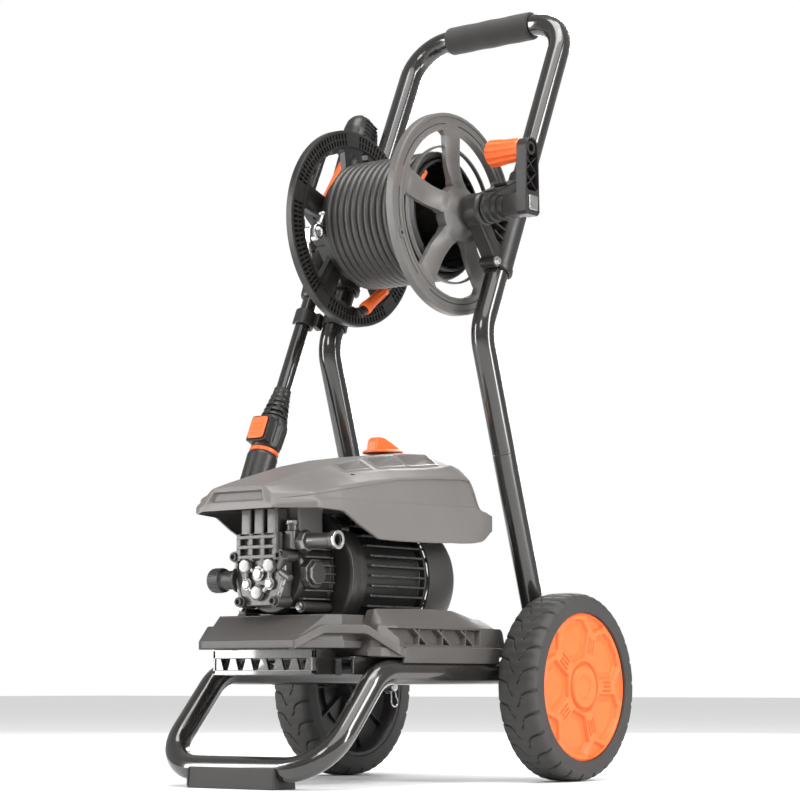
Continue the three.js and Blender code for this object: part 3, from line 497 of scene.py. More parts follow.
handle_line = bent(both_sides([(SIDE, upright_y(JOINT_Z), JOINT_Z), (SIDE, *ELBOW), (SIDE, *HANDLE)]), 52)
piece("handle_tube_bent", [tube(handle_line, TUBE, 40)], paint, "frame", "handle_tube", slot="frame_paint")
base_line = bent(both_sides([(SIDE, 52, RAIL_Z), (SIDE, -304.4, RAIL_Z), (SIDE, BAR_Y, 22)]), 54)
piece("base_tube_bent", [tube(base_line, TUBE, 40)], paint, "frame", "base_tube", slot="frame_paint")

for side, name in ((-1, "left"), (1, "right")):
    foot = np.array([side * SIDE, FOOT_Y, RAIL_Z])
    top = np.array([side * SIDE, upright_y(JOINT_Z), JOINT_Z - 1.2])
    rise = (top - foot) / np.linalg.norm(top - foot)
    # the weld bead runs round the notch, where the upright's skin meets the rail's: x^2 + (z - rail)^2 = r^2
    a = np.linspace(0, 2 * np.pi, 73)
    across = np.cross(rise, (1, 0, 0))
    round_skin = TUBE * 1.02 * (np.cos(a)[:, None] * np.array([1.0, 0, 0]) + np.sin(a)[:, None] * across)
    reach = (TUBE * 1.02 * np.abs(np.sin(a)) - round_skin[:, 2]) / rise[2]
    bead = foot + round_skin + rise * reach[:, None] + 0.35 * np.sin(a * 37)[:, None] * rise
    collar = turned(rounded([(TUBE - 1.5, 0), (TUBE, 0), (TUBE, 3), (TUBE - 1.5, 3)], 0.5, 3), top, rise, 40,
                    True)
    piece(f"upright_tube_{name}", [tube([foot + rise * 4, foot + rise * 60, top - rise * 30,
                                         top - rise * 0.8], TUBE, 40),
                                   skin(carried(bead[:-1], circle(1.7, 8)), True), collar],
          paint, "frame", f"upright_{name}", slot="frame_paint")
    # a plug closes the rail's open end
    plug = np.array([side * SIDE, 52, RAIL_Z])
    dome = rounded([(12.6, -4), (TUBE, 0), (TUBE, 1.6), (11, 3.2), (2, 3.6)], 0.9, 4, False)
    piece(f"rail_plug_{name}", [turned(dome, plug, "y", 36)], black, "frame", slot="black_plastic")
    hollow = rounded([(6.15, 102), (9, 102), (9, 146.7), (6.15, 146.7)], 0.7, 4)
    wheel_centre = np.array([0, 0, 114.0])
    piece(f"axle_tube_{name}", [turned(hollow * (1, side), wheel_centre, "x", 36, True)], paint, "frame",
          f"axle_sleeve_{name}", slot="frame_paint")
    axle = rounded([(1.5, 89), (5, 89), (5.9, 90.5), (5.9, 190), (10, 190), (10, 192), (6, 194), (2, 194)],
                   0.7, 4, False)
    piece(f"axle_pin_{name}", [turned(axle * (1, side), wheel_centre, "x", 32)], steel, "frame",
          f"axle_{name}",
          slot="bright_steel")
    # the spring clip: a straight leg through the axle, a loop, and a wavy leg that snaps over the outside
    x = side * 96.0
    t = np.linspace(0, 1, 60)[:, None]
    loop_a = np.linspace(np.pi, -0.35 * np.pi, 28)
    loop = np.stack([np.full(28, x), 6.5 + 6.5 * np.cos(loop_a), 95 + 6.5 * np.sin(loop_a) * -1], -1)
    straight = np.array([x, 0, 124]) + (loop[0] - (x, 0, 124)) * np.linspace(0, 0.95, 12)[:, None]
    wave_z = np.linspace(loop[-1, 2] + 2, 126, 24)
    wave = np.stack([np.full(24, x), 10.0 - 3.2 * np.sin((wave_z - 100) / 26 * np.pi) ** 2 * 1.2 + 2.5 * (wave_z > 120) *
                     (wave_z - 120) / 6, wave_z], -1)
    clip = np.concatenate([straight, loop, wave])
    piece(f"spring_clip_{name}", [tube(clip, 1.05, 12)], steel, "frame", f"axle_clip_{name}",
          slot="bright_steel",
          weighted=False)


# ---- foam grip ----------------------------------------------------------------------------------------
# A sleeve of closed-cell foam pushed over the middle of the handle. It is soft, matt and very finely pitted.
def closed_cell_foam():
    material, shader, place = finish("foam", Sheen_Weight=0.15)
    cloud = place.noise(40, 4.0)
    pits = place.node("ShaderNodeTexVoronoi", None, {"Vector": place, "Scale": 900.0}, "Distance")
    colour = cloud.mixed((0.021, 0.020, 0.019), (0.040, 0.038, 0.036))
    return settle(material, shader, colour, cloud * 0.1 + 0.82, pits, 0.0003)


GRIP = 66.0
u = np.linspace(-1, 1, 90)
swell = 18.5 + 0.35 * np.cos(u * 9) * (1 - u ** 2)
foam_profile = np.concatenate([[(14.6, -GRIP)], rounded([(16.4, -GRIP), (17.9, -GRIP), (18.4, -GRIP + 2)],
                                                        1.2, 5, False),
                               np.stack([swell, u * (GRIP - 3)], -1),
                               rounded([(18.4, GRIP - 2), (17.9, GRIP), (16.4, GRIP)], 1.2, 5, False),
                                   [(14.6, GRIP)]])
foam = piece("foam_sleeve", [turned(foam_profile, (0, *HANDLE), "x", 64, True)], closed_cell_foam(), "frame",
             "foam_grip", slot="foam", weighted=False)


# ---- front foot ---------------------------------------------------------------------------------------
# A rubber block moulded round the front bar, with a flange at each end where it is pressed on.
def outline_box(low, high, radius, steps=5):
    (x0, y0), (x1, y1) = low, high
    return rounded([(x0, y0), (x1, y0), (x1, y1), (x0, y1)], radius, steps)


def inset(outline, amount):
    """Moves each point inwards by amount, square to the line between its neighbours."""
    along = np.roll(outline, -1, axis=0) - np.roll(outline, 1, axis=0)
    inwards = np.stack([-along[:, 1], along[:, 0]], -1)
    inwards /= np.maximum(np.linalg.norm(inwards, axis=1), 1e-9)[:, None]
    area = np.sum(outline[:, 0] * np.roll(outline[:, 1], -1) - outline[:, 1] * np.roll(outline[:, 0], -1))
    return outline + inwards * amount * (1 if area > 0 else -1)


def slab(outline, low, high, edge=1.0, along="z", at=(0, 0, 0), turn=None):
    """An outline drawn out from low to high; its rims are quarter rounds, inset edge (1 - sin a) at edge (1 - cos a)."""
    outline = np.asarray(outline, float)
    a = np.linspace(0, np.pi / 2, 4)
    steps = [(edge * (1 - math.sin(s)), edge * (1 - math.cos(s))) for s in a]
    rings = [np.column_stack([inset(outline, i), np.full(len(outline), low + h)]) for i, h in steps]
    rings += [np.column_stack([inset(outline, i), np.full(len(outline),
                                                          high - h)]) for i, h in reversed(steps)]
    axes = frame_of(along) if turn is None else np.asarray(turn, float)
    return skin(np.array(rings) @ axes + np.asarray(at, float))


def tyre_rubber(name="tyre_rubber"):
    """Matt rubber: dry grey bloom on the high spots, mould grain."""
    material, shader, place = finish(name)
    cloud = place.noise(22, 5.0, 0.6)
    grain = place.noise(700, 4.0, 0.6)
    colour = cloud.mixed((0.022, 0.021, 0.020), (0.045, 0.043, 0.041))
    return settle(material, shader, colour, cloud * 0.2 + 0.52, grain, 0.00015)


rubber = tyre_rubber()
pad_outline = rounded([(-422, 0), (-382, 0), (-384, 24), (-388.5, 24.0), (-390, 16), (-403.4, 7.5),
                       (-416.8, 16),
                       (-418.3, 24), (-420.5, 24)], [1.5, 1.5, 1.5, 1, 6, 12, 6, 1, 1.5], 6)
turn_x = np.array([(0, 1, 0), (0, 0, 1), (1, 0, 0)])
parts = [slab(pad_outline, -64, 64, 1.2, turn=turn_x)]
parts += [slab(rounded([(-422.6, 2), (-417, 2), (-417, 22), (-422.6, 22)], 1.0), x, x + 3, 0.8, turn=turn_x)
          for x in (-64.5, 61.5)]
piece("front_foot_pad", parts, rubber, "frame", "front_foot", slot="tyre_rubber")


# ---- wheels -------------------------------------------------------------------------------------------
# Each wheel is a solid rubber tyre on a ribbed black plastic rim, closed by a pressed-in orange cover. The
# cover has five sunk panels between raised spokes, with slots down each spoke and a ringed boss in the
# middle.
def smooth_step(x):
    """0 below 0, 1 above 1, and 3x^2 - 2x^3 between."""
    x = np.clip(x, 0, 1)
    return x * x * (3 - 2 * x)


def depth_inside(x, y, corners):
    """How far points lie inside a convex outline: the least distance to its edges, negative outside."""
    corners = np.asarray(corners, float)
    after = np.roll(corners, -1, axis=0)
    edge = after - corners
    area = np.sum(corners[:, 0] * after[:, 1] - corners[:, 1] * after[:, 0])
    square = np.stack([-edge[:, 1], edge[:, 0]], -1) / np.linalg.norm(edge, axis=1)[:, None] * np.sign(area)
    return np.min([(x - c[0]) * n[0] + (y - c[1]) * n[1] for c, n in zip(corners, square)], axis=0)


WHEEL = 114.0
TYRE_IN, TYRE_OUT = 147.2, 202.3
wheel_centre = np.array([0, 0, WHEEL])


def tyre(side):
    """r(a, s) = section(s) - grooves: each sipe follows a = pitch k + bend w^2, hooked at its inner end."""
    seat = 89.8
    section = rounded([(seat, TYRE_IN), (107, TYRE_IN), (112.5, TYRE_IN + 5), (WHEEL, TYRE_IN + 16),
                       (WHEEL, TYRE_OUT - 16), (112.5, TYRE_OUT - 5), (107, TYRE_OUT), (seat, TYRE_OUT)],
                      [0.8, 3, 5, 8, 8, 5, 3, 0.8], 7)
    run = np.concatenate([[0], np.cumsum(np.linalg.norm(np.diff(section, axis=0, append=section[:1]),
                                                        axis=1))])
    even = np.unique(np.round(np.concatenate([run, np.arange(0, run[-1] - 17, 1.3)]), 3))[:-1]
    even = even[np.concatenate([[True], np.diff(even) > 0.3])]
    closed = np.concatenate([section, section[:1]])
    r, x = (np.interp(even, run, closed[:, c]) for c in (0, 1))
    a = np.arange(780) * 2 * np.pi / 780
    r, x = r[:, None] + 0 * a, x[:, None] + 0 * a
    sipes = 26
    pitch = 2 * np.pi / sipes
    groove = np.zeros_like(r)
    for half, phase in ((1, 0.0), (-1, 0.5)):
        w = ((TYRE_OUT - x) if half > 0 else (x - TYRE_IN)) / 27.5
        bend = 13 * np.clip(w, 0, 1) ** 2 + 9 * smooth_step((w - 0.62) / 0.22)
        across = (((a / pitch + phase) % 1.0) - 0.5) * pitch * WHEEL - bend + 9
        width = 1.15 + 1.6 * (1 - smooth_step((w - 0.02) / 0.3))
        line = 1 - smooth_step((np.abs(across) - width * 0.55) / 0.9)
        groove += line * smooth_step((0.93 - w) / 0.06) * (3.0 - 0.8 * w) * (r > 105)
    swell = 0.35 * np.cos(a * sipes * 2) * smooth_step((r - 106) / 6)
    r = r - np.minimum(groove, 3.2) + swell - 0.35
    points = np.stack([x * side, r * np.cos(a), WHEEL + r * np.sin(a)], -1)
    return skin(points, True)


def cover(side):
    """height(r, a): spokes at the top, panels sunk by depth smooth_step(inside / wall), slots, and a ringed boss."""
    face = TYRE_OUT - 2.2
    r = np.concatenate([[89.2, 89.2, 88.9, 88.2], np.linspace(87.2, 14, 92), np.linspace(13.2, 2, 8)])[:,
            None]
    a = (np.arange(720) * 2 * np.pi / 720)[None]
    from_lobe = (a - math.radians(36) + math.pi / 5) % (2 * math.pi / 5) - math.pi / 5
    x, y = r * np.cos(from_lobe), r * np.sin(from_lobe)
    wide, near = 32.4, 13.5
    panel = [(33, near), (60.5, wide), (77, 25), (82.5, 11), (82.5, -11), (77, -25), (60.5, -wide),
             (33, -near)]
    height = -6.4 * smooth_step((depth_inside(x, y, panel) + 0.6) / 3.4)
    height += 0.9 * smooth_step((depth_inside(x, y, panel) - 7.0) / 1.4)
    turn = np.where(from_lobe < 0, -1, 1) * math.pi / 5
    sx = x * np.cos(turn) + y * np.sin(turn)
    sy = np.abs(-x * np.sin(turn) + y * np.cos(turn))
    fork = [(70, 3.0), (86.0, 25), (90, 25), (90, -25), (86.0, -25), (70, -3.0)]
    height -= 5.2 * smooth_step((depth_inside(sx, sy, fork) + 0.4) / 2.8) * smooth_step((86.9 - r) / 1.6)
    for middle, half in ((0.0, 9.0), (5.2, 10.5)):
        across = 1 - smooth_step((np.abs(sy - middle) - 0.7) / 0.9)
        height -= 2.6 * across * smooth_step((half - np.abs(sx - 51)) / 1.6)
    hub = smooth_step((31.5 - r) / 3.2)
    height = height * (1 - hub) + hub * (1.3 - 5.5 * smooth_step((r - 24.6) / 2.2) * smooth_step((31.5 - r) / 1.4))
    height -= 1.7 * smooth_step((15.2 - r) / 1.2) - 0.9 * smooth_step((11.2 - r) / 1.2)
    rim_fall = 1.6 * smooth_step((r - 86.3) / 2.9)
    x = side * (face + height * 0.92 - rim_fall) + 0 * a
    back = side * (TYRE_OUT - 12.2)
    x[0] = back
    rings = np.stack([x, r * np.cos(a), WHEEL + r * np.sin(a)], -1)
    return skin(rings)


def rim(side):
    """The dished inner face: height(r, a) with a rolled lip, a ring, thin radial ribs and a hub tube."""
    low = TYRE_IN + 1
    r = np.concatenate([[88.6, 88.6, 88.2, 86.6, 86.2], np.linspace(85.4, 20.5, 90), np.linspace(19.6, 6.2,
            16)])[:, None]
    a = (np.arange(720) * 2 * np.pi / 720)[None]
    lip = smooth_step((r - 82.5) / 1.6)
    hub = smooth_step((20.2 - r) / 1.8)
    ring = smooth_step(1 - np.abs(r - 52) / 1.5)
    off_rib = np.abs((a * 10 / (2 * np.pi) + 0.5) % 1.0 - 0.5) * 2 * np.pi / 10 * r
    rib = smooth_step((2.0 - off_rib) / 1.1) * (1 - hub)
    depth = 22 - 5.5 * np.maximum(ring, rib * smooth_step((86 - r) / 6)) + 0 * a
    depth = depth * (1 - np.maximum(lip, hub)) + 0.4
    x = side * (low + depth)
    x[0] = side * (TYRE_OUT - 12.8)
    back = np.stack([side * (TYRE_OUT - 12.8) + 0 * a[0], 6.2 * np.cos(a[0]), WHEEL + 6.2 * np.sin(a[0])], -1)
    rings = np.stack([x, r * np.cos(a), WHEEL + r * np.sin(a)], -1)
    return skin(np.concatenate([rings, back[None]]), True)


def orange_cover():
    """The covers' orange: like the small mouldings, with a little more flow mottling and gloss on the high spots."""
    material, shader, place = finish("orange_cover")
    cloud = place.noise(16, 4.0)
    grain = place.noise(1100, 2.0)
    colour = cloud.mixed((0.84, 0.125, 0.020), (0.93, 0.165, 0.034))
    return settle(material, shader, colour, cloud * 0.18 + 0.36, grain, 0.00005)


cover_orange = orange_cover()
for side, name in ((-1, "left"), (1, "right")):
    piece(f"wheel_tyre_{name}", [tyre(side)], rubber, f"wheel_{name}", f"tyre_{name}", slot="tyre_rubber",
          smooth=50, weighted=False)
    piece(f"wheel_cover_{name}", [cover(side)], cover_orange, f"wheel_{name}", f"hub_disc_{name}",
          slot="orange_plastic", smooth=50, weighted=False)
    piece(f"wheel_rim_{name}", [rim(side)], black, f"wheel_{name}", f"rim_{name}", slot="black_plastic",
          smooth=50, weighted=False)


# ---- deck ---------------------------------------------------------------------------------------------
# One large structural moulding screwed down on the rails: a sloped front wall, a strip that arches along each
# slanted edge, and a hump over each rail with a slatted vent. Satin warm grey, moulded with a fine grain.
def grey_moulding(name, low, high, roughness=0.36):
    """Satin grey moulding: fine spark grain, slow cloudy gloss, and slightly polished edges."""
    material, shader, place = finish(name)
    cloud = place.noise(9, 4.0)
    grain = place.noise(1250, 3.0, 0.6)
    worn = place.node("ShaderNodeNewGeometry", None, None, "Pointiness").between(0.52, 0.58)
    colour = (cloud * 0.8 + worn * 0.35).mixed(low, high)
    return settle(material, shader, colour, cloud * 0.16 + roughness - worn * 0.08, grain, 0.00006)


deck_grey = grey_moulding("deck_plastic", (0.062, 0.057, 0.053), (0.098, 0.091, 0.086))
DECK_Z = 157.0


def mirrored(half):
    half = np.asarray(half, float)
    return np.concatenate([half, half[::-1] * (-1, 1)])


def wedge(low, high, z_low, z_high, edge=1.6):
    """A block whose outline goes straight from one shape at the bottom to another, as long, at the top."""
    low, high = np.asarray(low, float), np.asarray(high, float)
    a = np.linspace(0, np.pi / 2, 4)
    rings = [np.column_stack([inset(low, edge * (1 - math.sin(s))), np.full(len(low),
            z_low + edge * (1 - math.cos(s)))])
             for s in a]
    rings += [np.column_stack([inset(high, edge * (1 - math.sin(s))),
                               np.full(len(high), z_high - edge * (1 - math.cos(s)))]) for s in a[::-1]]
    return skin(rings)


deck_parts = [slab(rounded(mirrored([(118, -300), (134, -272), (134, -84), (106, -58)]), [3, 3, 4, 4] * 2),
                   147.4, DECK_Z, 1.5),
              slab(rounded(mirrored([(70, -394.2), (99, -341), (99, -290)]), 1.6), 157.6, 166.6, 1.2),
              wedge(rounded(mirrored([(69, -392.6), (97, -341), (97, -292)]), 1.6),
                    rounded(mirrored([(80, -352), (90, -334), (90, -292)]), 1.6), 164, 196)]
for side in (-1, 1):
    # the arched strip: a deep flat bar carried up from the front corner, level, and down to the side skirt
    strip_path = rounded([(71, -394.4, 161.5), (87, -362, 179), (112, -316, 179), (131.5, -280, 155),
                          (132.2, -262, 151)],
                         [1, 4, 4, 3, 1], 6, False) * (side, 1, 1)
    ahead = np.gradient(strip_path, axis=0)
    ahead /= np.linalg.norm(ahead, axis=1)[:, None]
    inward = np.cross((0, 0, 1.0), ahead)
    inward *= np.sign(-side * inward[:, :1])
    inward /= np.linalg.norm(inward, axis=1)[:, None]
    bar_section = rounded([(-1.6, -5.2), (16, -5.2), (16, 5.2), (-1.6, 5.2)], 1.4, 4)
    rings = strip_path[:, None] + bar_section[:, :1] * inward[:, None] + bar_section[:, 1:] * np.array([0, 0,
            1.0])
    deck_parts.append(skin(rings))

    # the hump: section points are carried along Y under a roof line; the vent is sunk in its upright face
    y = np.concatenate([np.arange(-312, -286, 0.9), np.arange(-286, -104, 0.8), np.arange(-104, -40, 0.9)])
    roof = np.interp(y, [-312, -306, -290, -190, -140, -98, -80, -52, -43, -41],
                     [DECK_Z - 3, 166, 203, 205, 204, 195.4, 194.4, 181, 168, DECK_Z - 3])
    roof = np.convolve(np.pad(roof, 2, "edge"), np.ones(5) / 5, "valid")
    ledge = np.minimum(roof - 0.8, 183.5)
    shelf = np.minimum(ledge - 0.4, 160.5)
    wide = np.interp(y, [-312, -300, -272, -80, -50, -41], [108, 118, 126.5, 126.5, 118, 106])
    spans = [(np.full_like(y, 92), np.full_like(y, 150)), (np.full_like(y, 92), roof - 1.2),
             (np.full_like(y, 103), roof),
             (wide - 3.5, ledge), (wide, shelf), (wide + 3, shelf - 2.5), (wide + 3, np.full_like(y, 149))]
    corners = np.stack([np.stack(span, -1) for span in spans], 1)
    s = np.unique(np.concatenate([np.linspace(0, 3, 22), np.linspace(3, 4, 30), np.linspace(4, 6, 12)]))
    whole = np.minimum(s.astype(int), 5)
    part = (s - whole)[None, :, None]
    outline = corners[:, whole] * (1 - part) + corners[:, whole + 1] * part
    down = np.clip(s - 3, 0, 1)[None]
    back = y[:, None]
    vent = smooth_step((down - 0.10) / 0.05) * smooth_step((0.93 - down) / 0.05) * (np.abs(s - 3.5) < 0.5)
    vent = vent * smooth_step((back + 290 - 30 * down) / 2) * smooth_step((-109 - 5 * down - back) / 2)
    pitch = 46.0
    where = (back + 262) / pitch
    lean = np.abs((where - 0.62 * down + 0.1) % 1.0 - 0.5) * pitch
    upright = np.abs((where + 0.12 * down - 0.21) % 1.0 - 0.5) * pitch
    ribs = np.maximum(smooth_step((4.2 - lean) / 1.2),
                      smooth_step((2.2 - upright) / 1.0)) * smooth_step((back + 262) / 3)
    outline[..., 0] -= vent * (8.0 - 7.0 * ribs)
    rings = np.stack([outline[..., 0] * side, np.broadcast_to(back, outline.shape[:2]), outline[..., 1]], -1)
    deck_parts.append(skin(rings))
    # the skirt that hangs beside the rail
    skirt = rounded([(-273, 141), (-86, 141), (-80, 159.8), (-268, 159.8)], 2.0)
    deck_parts.append(slab(skirt, *sorted((side * 129.2, side * 133.9)), 1.3, turn=turn_x))
piece("deck_moulding", deck_parts, deck_grey, "frame", "deck", slot="deck_plastic")

# A pressed steel tray with folded edges hangs under the deck between the rails; its front is a pierced apron.
tray = [slab(outline_box((-103.6, -329.6), (103.6, -96.4), 6), 145.2, 148.4, 0.8),
        slab(outline_box((-103.8, -329.8), (-100.4, -96.4), 1.2), 127.4, 147, 0.6),
        slab(outline_box((100.4, -329.8), (103.8, -96.4), 1.2), 127.4, 147, 0.6)]
turn_y = np.array([(1, 0, 0), (0, 0, 1), (0, 1, 0)])
tray += [slab(rounded([(-76, z), (76, z), (76, z + h), (-76, z + h)], 1), -366, -361, 0.8, turn=turn_y)
         for z, h in ((146, 11), (127, 6))]
for k in range(-3, 4):
    post = [(23 * k - 9, 132), (23 * k + 9, 132), (23 * k + 4, 147), (23 * k - 4, 147)]
    tray.append(slab(rounded(post, 1.2), -365, -361.5, 0.6, turn=turn_y))
tray += [slab(rounded([(-366, 127), (-326, 127), (-326, 157), (-366, 157)], 2), *sorted((s * 72, s * 76)),
              0.8, turn=turn_x)
         for s in (-1, 1)]
for x in (-92, -30, 30, 92):
    for y in (-308, -150):
        tray += [turned([(2, 0), (8, 0), (8, 4.8), (2, 5.6)], (x, y, 145.4), (0, 0, -1), 6),
                 turned(rounded([(2, 0), (10, 0), (10, 1.4), (2, 1.4)], 0.4, 3, False), (x, y, 145.6),
                        (0, 0, -1), 24)]
piece("motor_tray_pressing", tray, paint, "frame", "motor_tray", slot="frame_paint")


# ---- motor --------------------------------------------------------------------------------------------
# An aluminium can with straight cooling fins on each flank, a machined front bell that bolts it to the
# pump, and
# a pressed cover over the fan at the back. The castings are sprayed black; bare edges catch the light.
def sprayed_casting(name, low, high, roughness=0.34, metal=0.55):
    """Sand-cast metal under thin paint: coarse sand grain, with paint rubbed off the edges to brighter metal."""
    material, shader, place = finish(name, Coat_Weight=0.25, Coat_Roughness=0.15)
    cloud = place.noise(26, 5.0, 0.6)
    sand = place.noise(520, 4.0, 0.65)
    worn = place.node("ShaderNodeNewGeometry", None, None, "Pointiness").between(0.53, 0.60)
    worn = worn * place.noise(190, 3.0).between(0.30, 0.55)
    colour = worn.mixed(cloud.mixed(low, high), (0.34, 0.33, 0.32))
    return settle(material, shader, colour, cloud * 0.2 + roughness - worn * 0.12, sand, 0.00018,
                  worn * 0.5 + metal)


cast = sprayed_casting("cast_metal", (0.022, 0.020, 0.019), (0.050, 0.047, 0.044))
bright_cast = sprayed_casting("pump_casting", (0.070, 0.067, 0.064), (0.130, 0.125, 0.120), 0.30, 0.75)
motor_paint = sprayed_casting("motor_paint", (0.012, 0.0115, 0.011), (0.026, 0.025, 0.024), 0.30, 0.3)
cover_grey = grey_moulding("cover_plastic", (0.030, 0.028, 0.026), (0.050, 0.047, 0.044), 0.30)
cap_cast = sprayed_casting("valve_caps", (0.22, 0.215, 0.21), (0.30, 0.29, 0.285), 0.26, 0.8)
MOTOR_Z = 243.0
motor_axis = np.array([0, 0, MOTOR_Z])


def hex_bolt(at, along, flats=8.0, head=4.5, washer=True):
    """A hexagon head with a turned-down top face, on a washer."""
    parts = [turned([(flats * 0.2, 0), (flats * 0.577, 0), (flats * 0.577, head * 0.8), (flats * 0.48, head)],
                    at, along, 6)]
    if washer:
        parts.append(turned(rounded([(1, -0.4), (flats * 0.75, -0.4), (flats * 0.75, 0.9), (1, 0.9)], 0.3, 3,
                                    False), at, along, 24))
    return parts


def socket_screw(at, along, radius=4.5, head=7.0):
    """A cylinder head with a knurl of fine flats and a deep six-sided socket."""
    outer = rounded([(radius * 0.94, 0), (radius, 0.4), (radius, head - 0.6), (radius * 0.9, head),
                     (radius * 0.56, head),
                     (radius * 0.52, head * 0.4), (0.3, head * 0.34)], 0.2, 3, False)
    return [turned(outer, at, along, 36)]


bell_profile = rounded([(9, -300), (76, -300), (79, -298.4), (79, -288), (76.6, -286), (76.6, -281),
                        (74, -279), (74, -268.2),
                        (60, -268.2)], 1.3, 5, False)
bell = [turned(bell_profile, motor_axis, "y", 128)]
bell += [slab(rounded([(-46, 158), (46, 158), (38, 182), (-38, 182)], 3), -298, -274, 1.5, turn=turn_y)]
for k in range(4):
    angle = math.radians(45 + 90 * k)
    spot = np.array([80.5 * math.cos(angle), -292, MOTOR_Z + 80.5 * math.sin(angle)])
    if k in (0, 1):
        bell += [turned(rounded([(1, 0), (5, 0), (5, 13), (1, 13)], 0.8, 4, False), spot * (0.97, 1, 1) - (0,
                4, 3), "y", 24)]
piece("motor_bell", bell, cast, "frame", "motor_front_bell", slot="cast_metal")

can_profile = rounded([(60, -267.7), (71.5, -267.7), (71.5, -262), (68.5, -259), (68.5, -158), (76.2, -157),
                       (76.2, -152.4), (60, -152.4)],
                      1.0, 4, False)
can = [turned(can_profile, motor_axis, "y", 128)]
fin_pitch = 11.8
for k in range(-5, 6):
    z = k * fin_pitch
    inner, outer = math.sqrt(68 ** 2 - z * z) - 1.5, min(math.sqrt(77.5 ** 2 - z * z), 76.0)
    for side in (-1, 1):
        fin = rounded([(-261, inner), (-154.5, inner), (-156.5, outer), (-259, outer)], 1.6, 4)
        can.append(slab(fin, MOTOR_Z + z - 1.3, MOTOR_Z + z + 1.3, 0.7,
                        turn=np.array([(0, 1, 0), (side, 0, 0), (0, 0, 1)])))
can.append(slab(rounded([(-30, 62), (30, 62), (26, 77), (-26, 77)], 3), -240, -180, 2, turn=turn_y,
                at=(0, 0, MOTOR_Z)))
piece("motor_can", can, motor_paint, "frame", "motor_housing", slot="motor_paint")


def pierced(x, y, low, high, keep, turn, at=(0, 0, 0)):
    """A plate between two height grids over a ring-shaped grid (x, y), walled wherever a kept cell meets a dropped one.

    Cell (i, k) lies between rings i and i + 1 and wraps round in k; low and high are its faces' heights.
    """
    rows, sides = x.shape
    low, high = (np.broadcast_to(h, x.shape) for h in (low, high))
    top = np.arange(rows * sides).reshape(rows, sides)
    base = top + rows * sides
    beside = np.roll(np.arange(sides), -1)
    i, k = np.nonzero(keep)
    n = beside[k]
    faces = [np.stack([top[i, k], top[i + 1, k], top[i + 1, n], top[i, n]], -1),
             np.stack([base[i, n], base[i + 1, n], base[i + 1, k], base[i, k]], -1)]
    framed = np.zeros((rows + 1, sides), bool)
    framed[1:-1] = keep
    for rolled, corners in (((1, 0), "in"), ((-1, 0), "out"), ((0, 1), "before"), ((0, -1), "after")):
        open_side = framed & ~np.roll(framed, rolled, axis=(0, 1))
        i, k = np.nonzero(open_side)
        i = i - 1
        n = beside[k]
        p, q = {"in": ((i, n), (i, k)), "out": ((i + 1, k), (i + 1, n)), "before": ((i, k), (i + 1, k)),
                "after": ((i + 1, n), (i, n))}[corners]
        faces.append(np.stack([base[p], base[q], top[q], top[p]], -1))
    points = np.concatenate([np.stack([x, y, high], -1).reshape(-1, 3), np.stack([x, y, low], -1).reshape(-1,
            3)])
    used = np.unique(np.concatenate([f.ravel() for f in faces]))
    place = np.zeros(len(points), int)
    place[used] = np.arange(len(used))
    return points[used] @ np.asarray(turn, float) + np.asarray(at, float), [place[f] for f in faces]


# the fan cover: a drawn cup with a rolled rim; its back is pierced in rings of slots
cup = rounded([(76.6, -151.9), (79.8, -151.9), (79.4, -140), (77.4, -118), (74.6, -97), (70.5, -90.6),
               (66, -89.2), (66, -91.6),
               (70, -93), (72.6, -99), (75.2, -120), (77, -141)], [0.5, 0.8, 8, 14, 10, 5, 1, 1, 4, 8, 10, 6],
                   6)
grille_r = np.concatenate([np.linspace(66.4, 62, 3), np.linspace(60, 16, 23), np.linspace(14, 4, 4)])[:, None]
grille_a = (np.arange(240) * 2 * np.pi / 240)[None]
ring_number = np.arange(len(grille_r) - 1)
slotted = ((ring_number[:, None] - 3) % 4 < 3) & (ring_number[:, None] >= 3) & (ring_number[:, None] < 25)
spoke = (np.arange(240)[None] + 2) % 30 < 4
solid_cells = ~(slotted & ~spoke)
dish = -91.4 + 1.4 * (1 - (grille_r / 66) ** 2)
grille = pierced(grille_r * np.cos(grille_a), grille_r * np.sin(grille_a), dish + 0 * grille_a,
                 dish + 1.6 + 0 * grille_a,
                 solid_cells, np.array([(1, 0, 0), (0, 0, 1), (0, 1, 0)]), (0, 0, MOTOR_Z))
piece("fan_cover_pressing", [turned(cup, motor_axis, "y", 128, True), grille,
                             turned([(1.5, -89.6), (5, -89.6), (5, -88.6), (1.5, -88.4)], motor_axis, "y",
                                    32)], cover_grey, "frame", "fan_cover",
      slot="cover_plastic")
piece("fan_cover_screws", [s for a in (40, 140, 220, 320) for s in
                           hex_bolt((79.4 * math.cos(math.radians(a)), -146,
                                     MOTOR_Z + 79.4 * math.sin(math.radians(a))),
                                    (math.cos(math.radians(a)), 0, math.sin(math.radians(a))), 5, 2.2)],
                                        steel, "frame", slot="bright_steel")

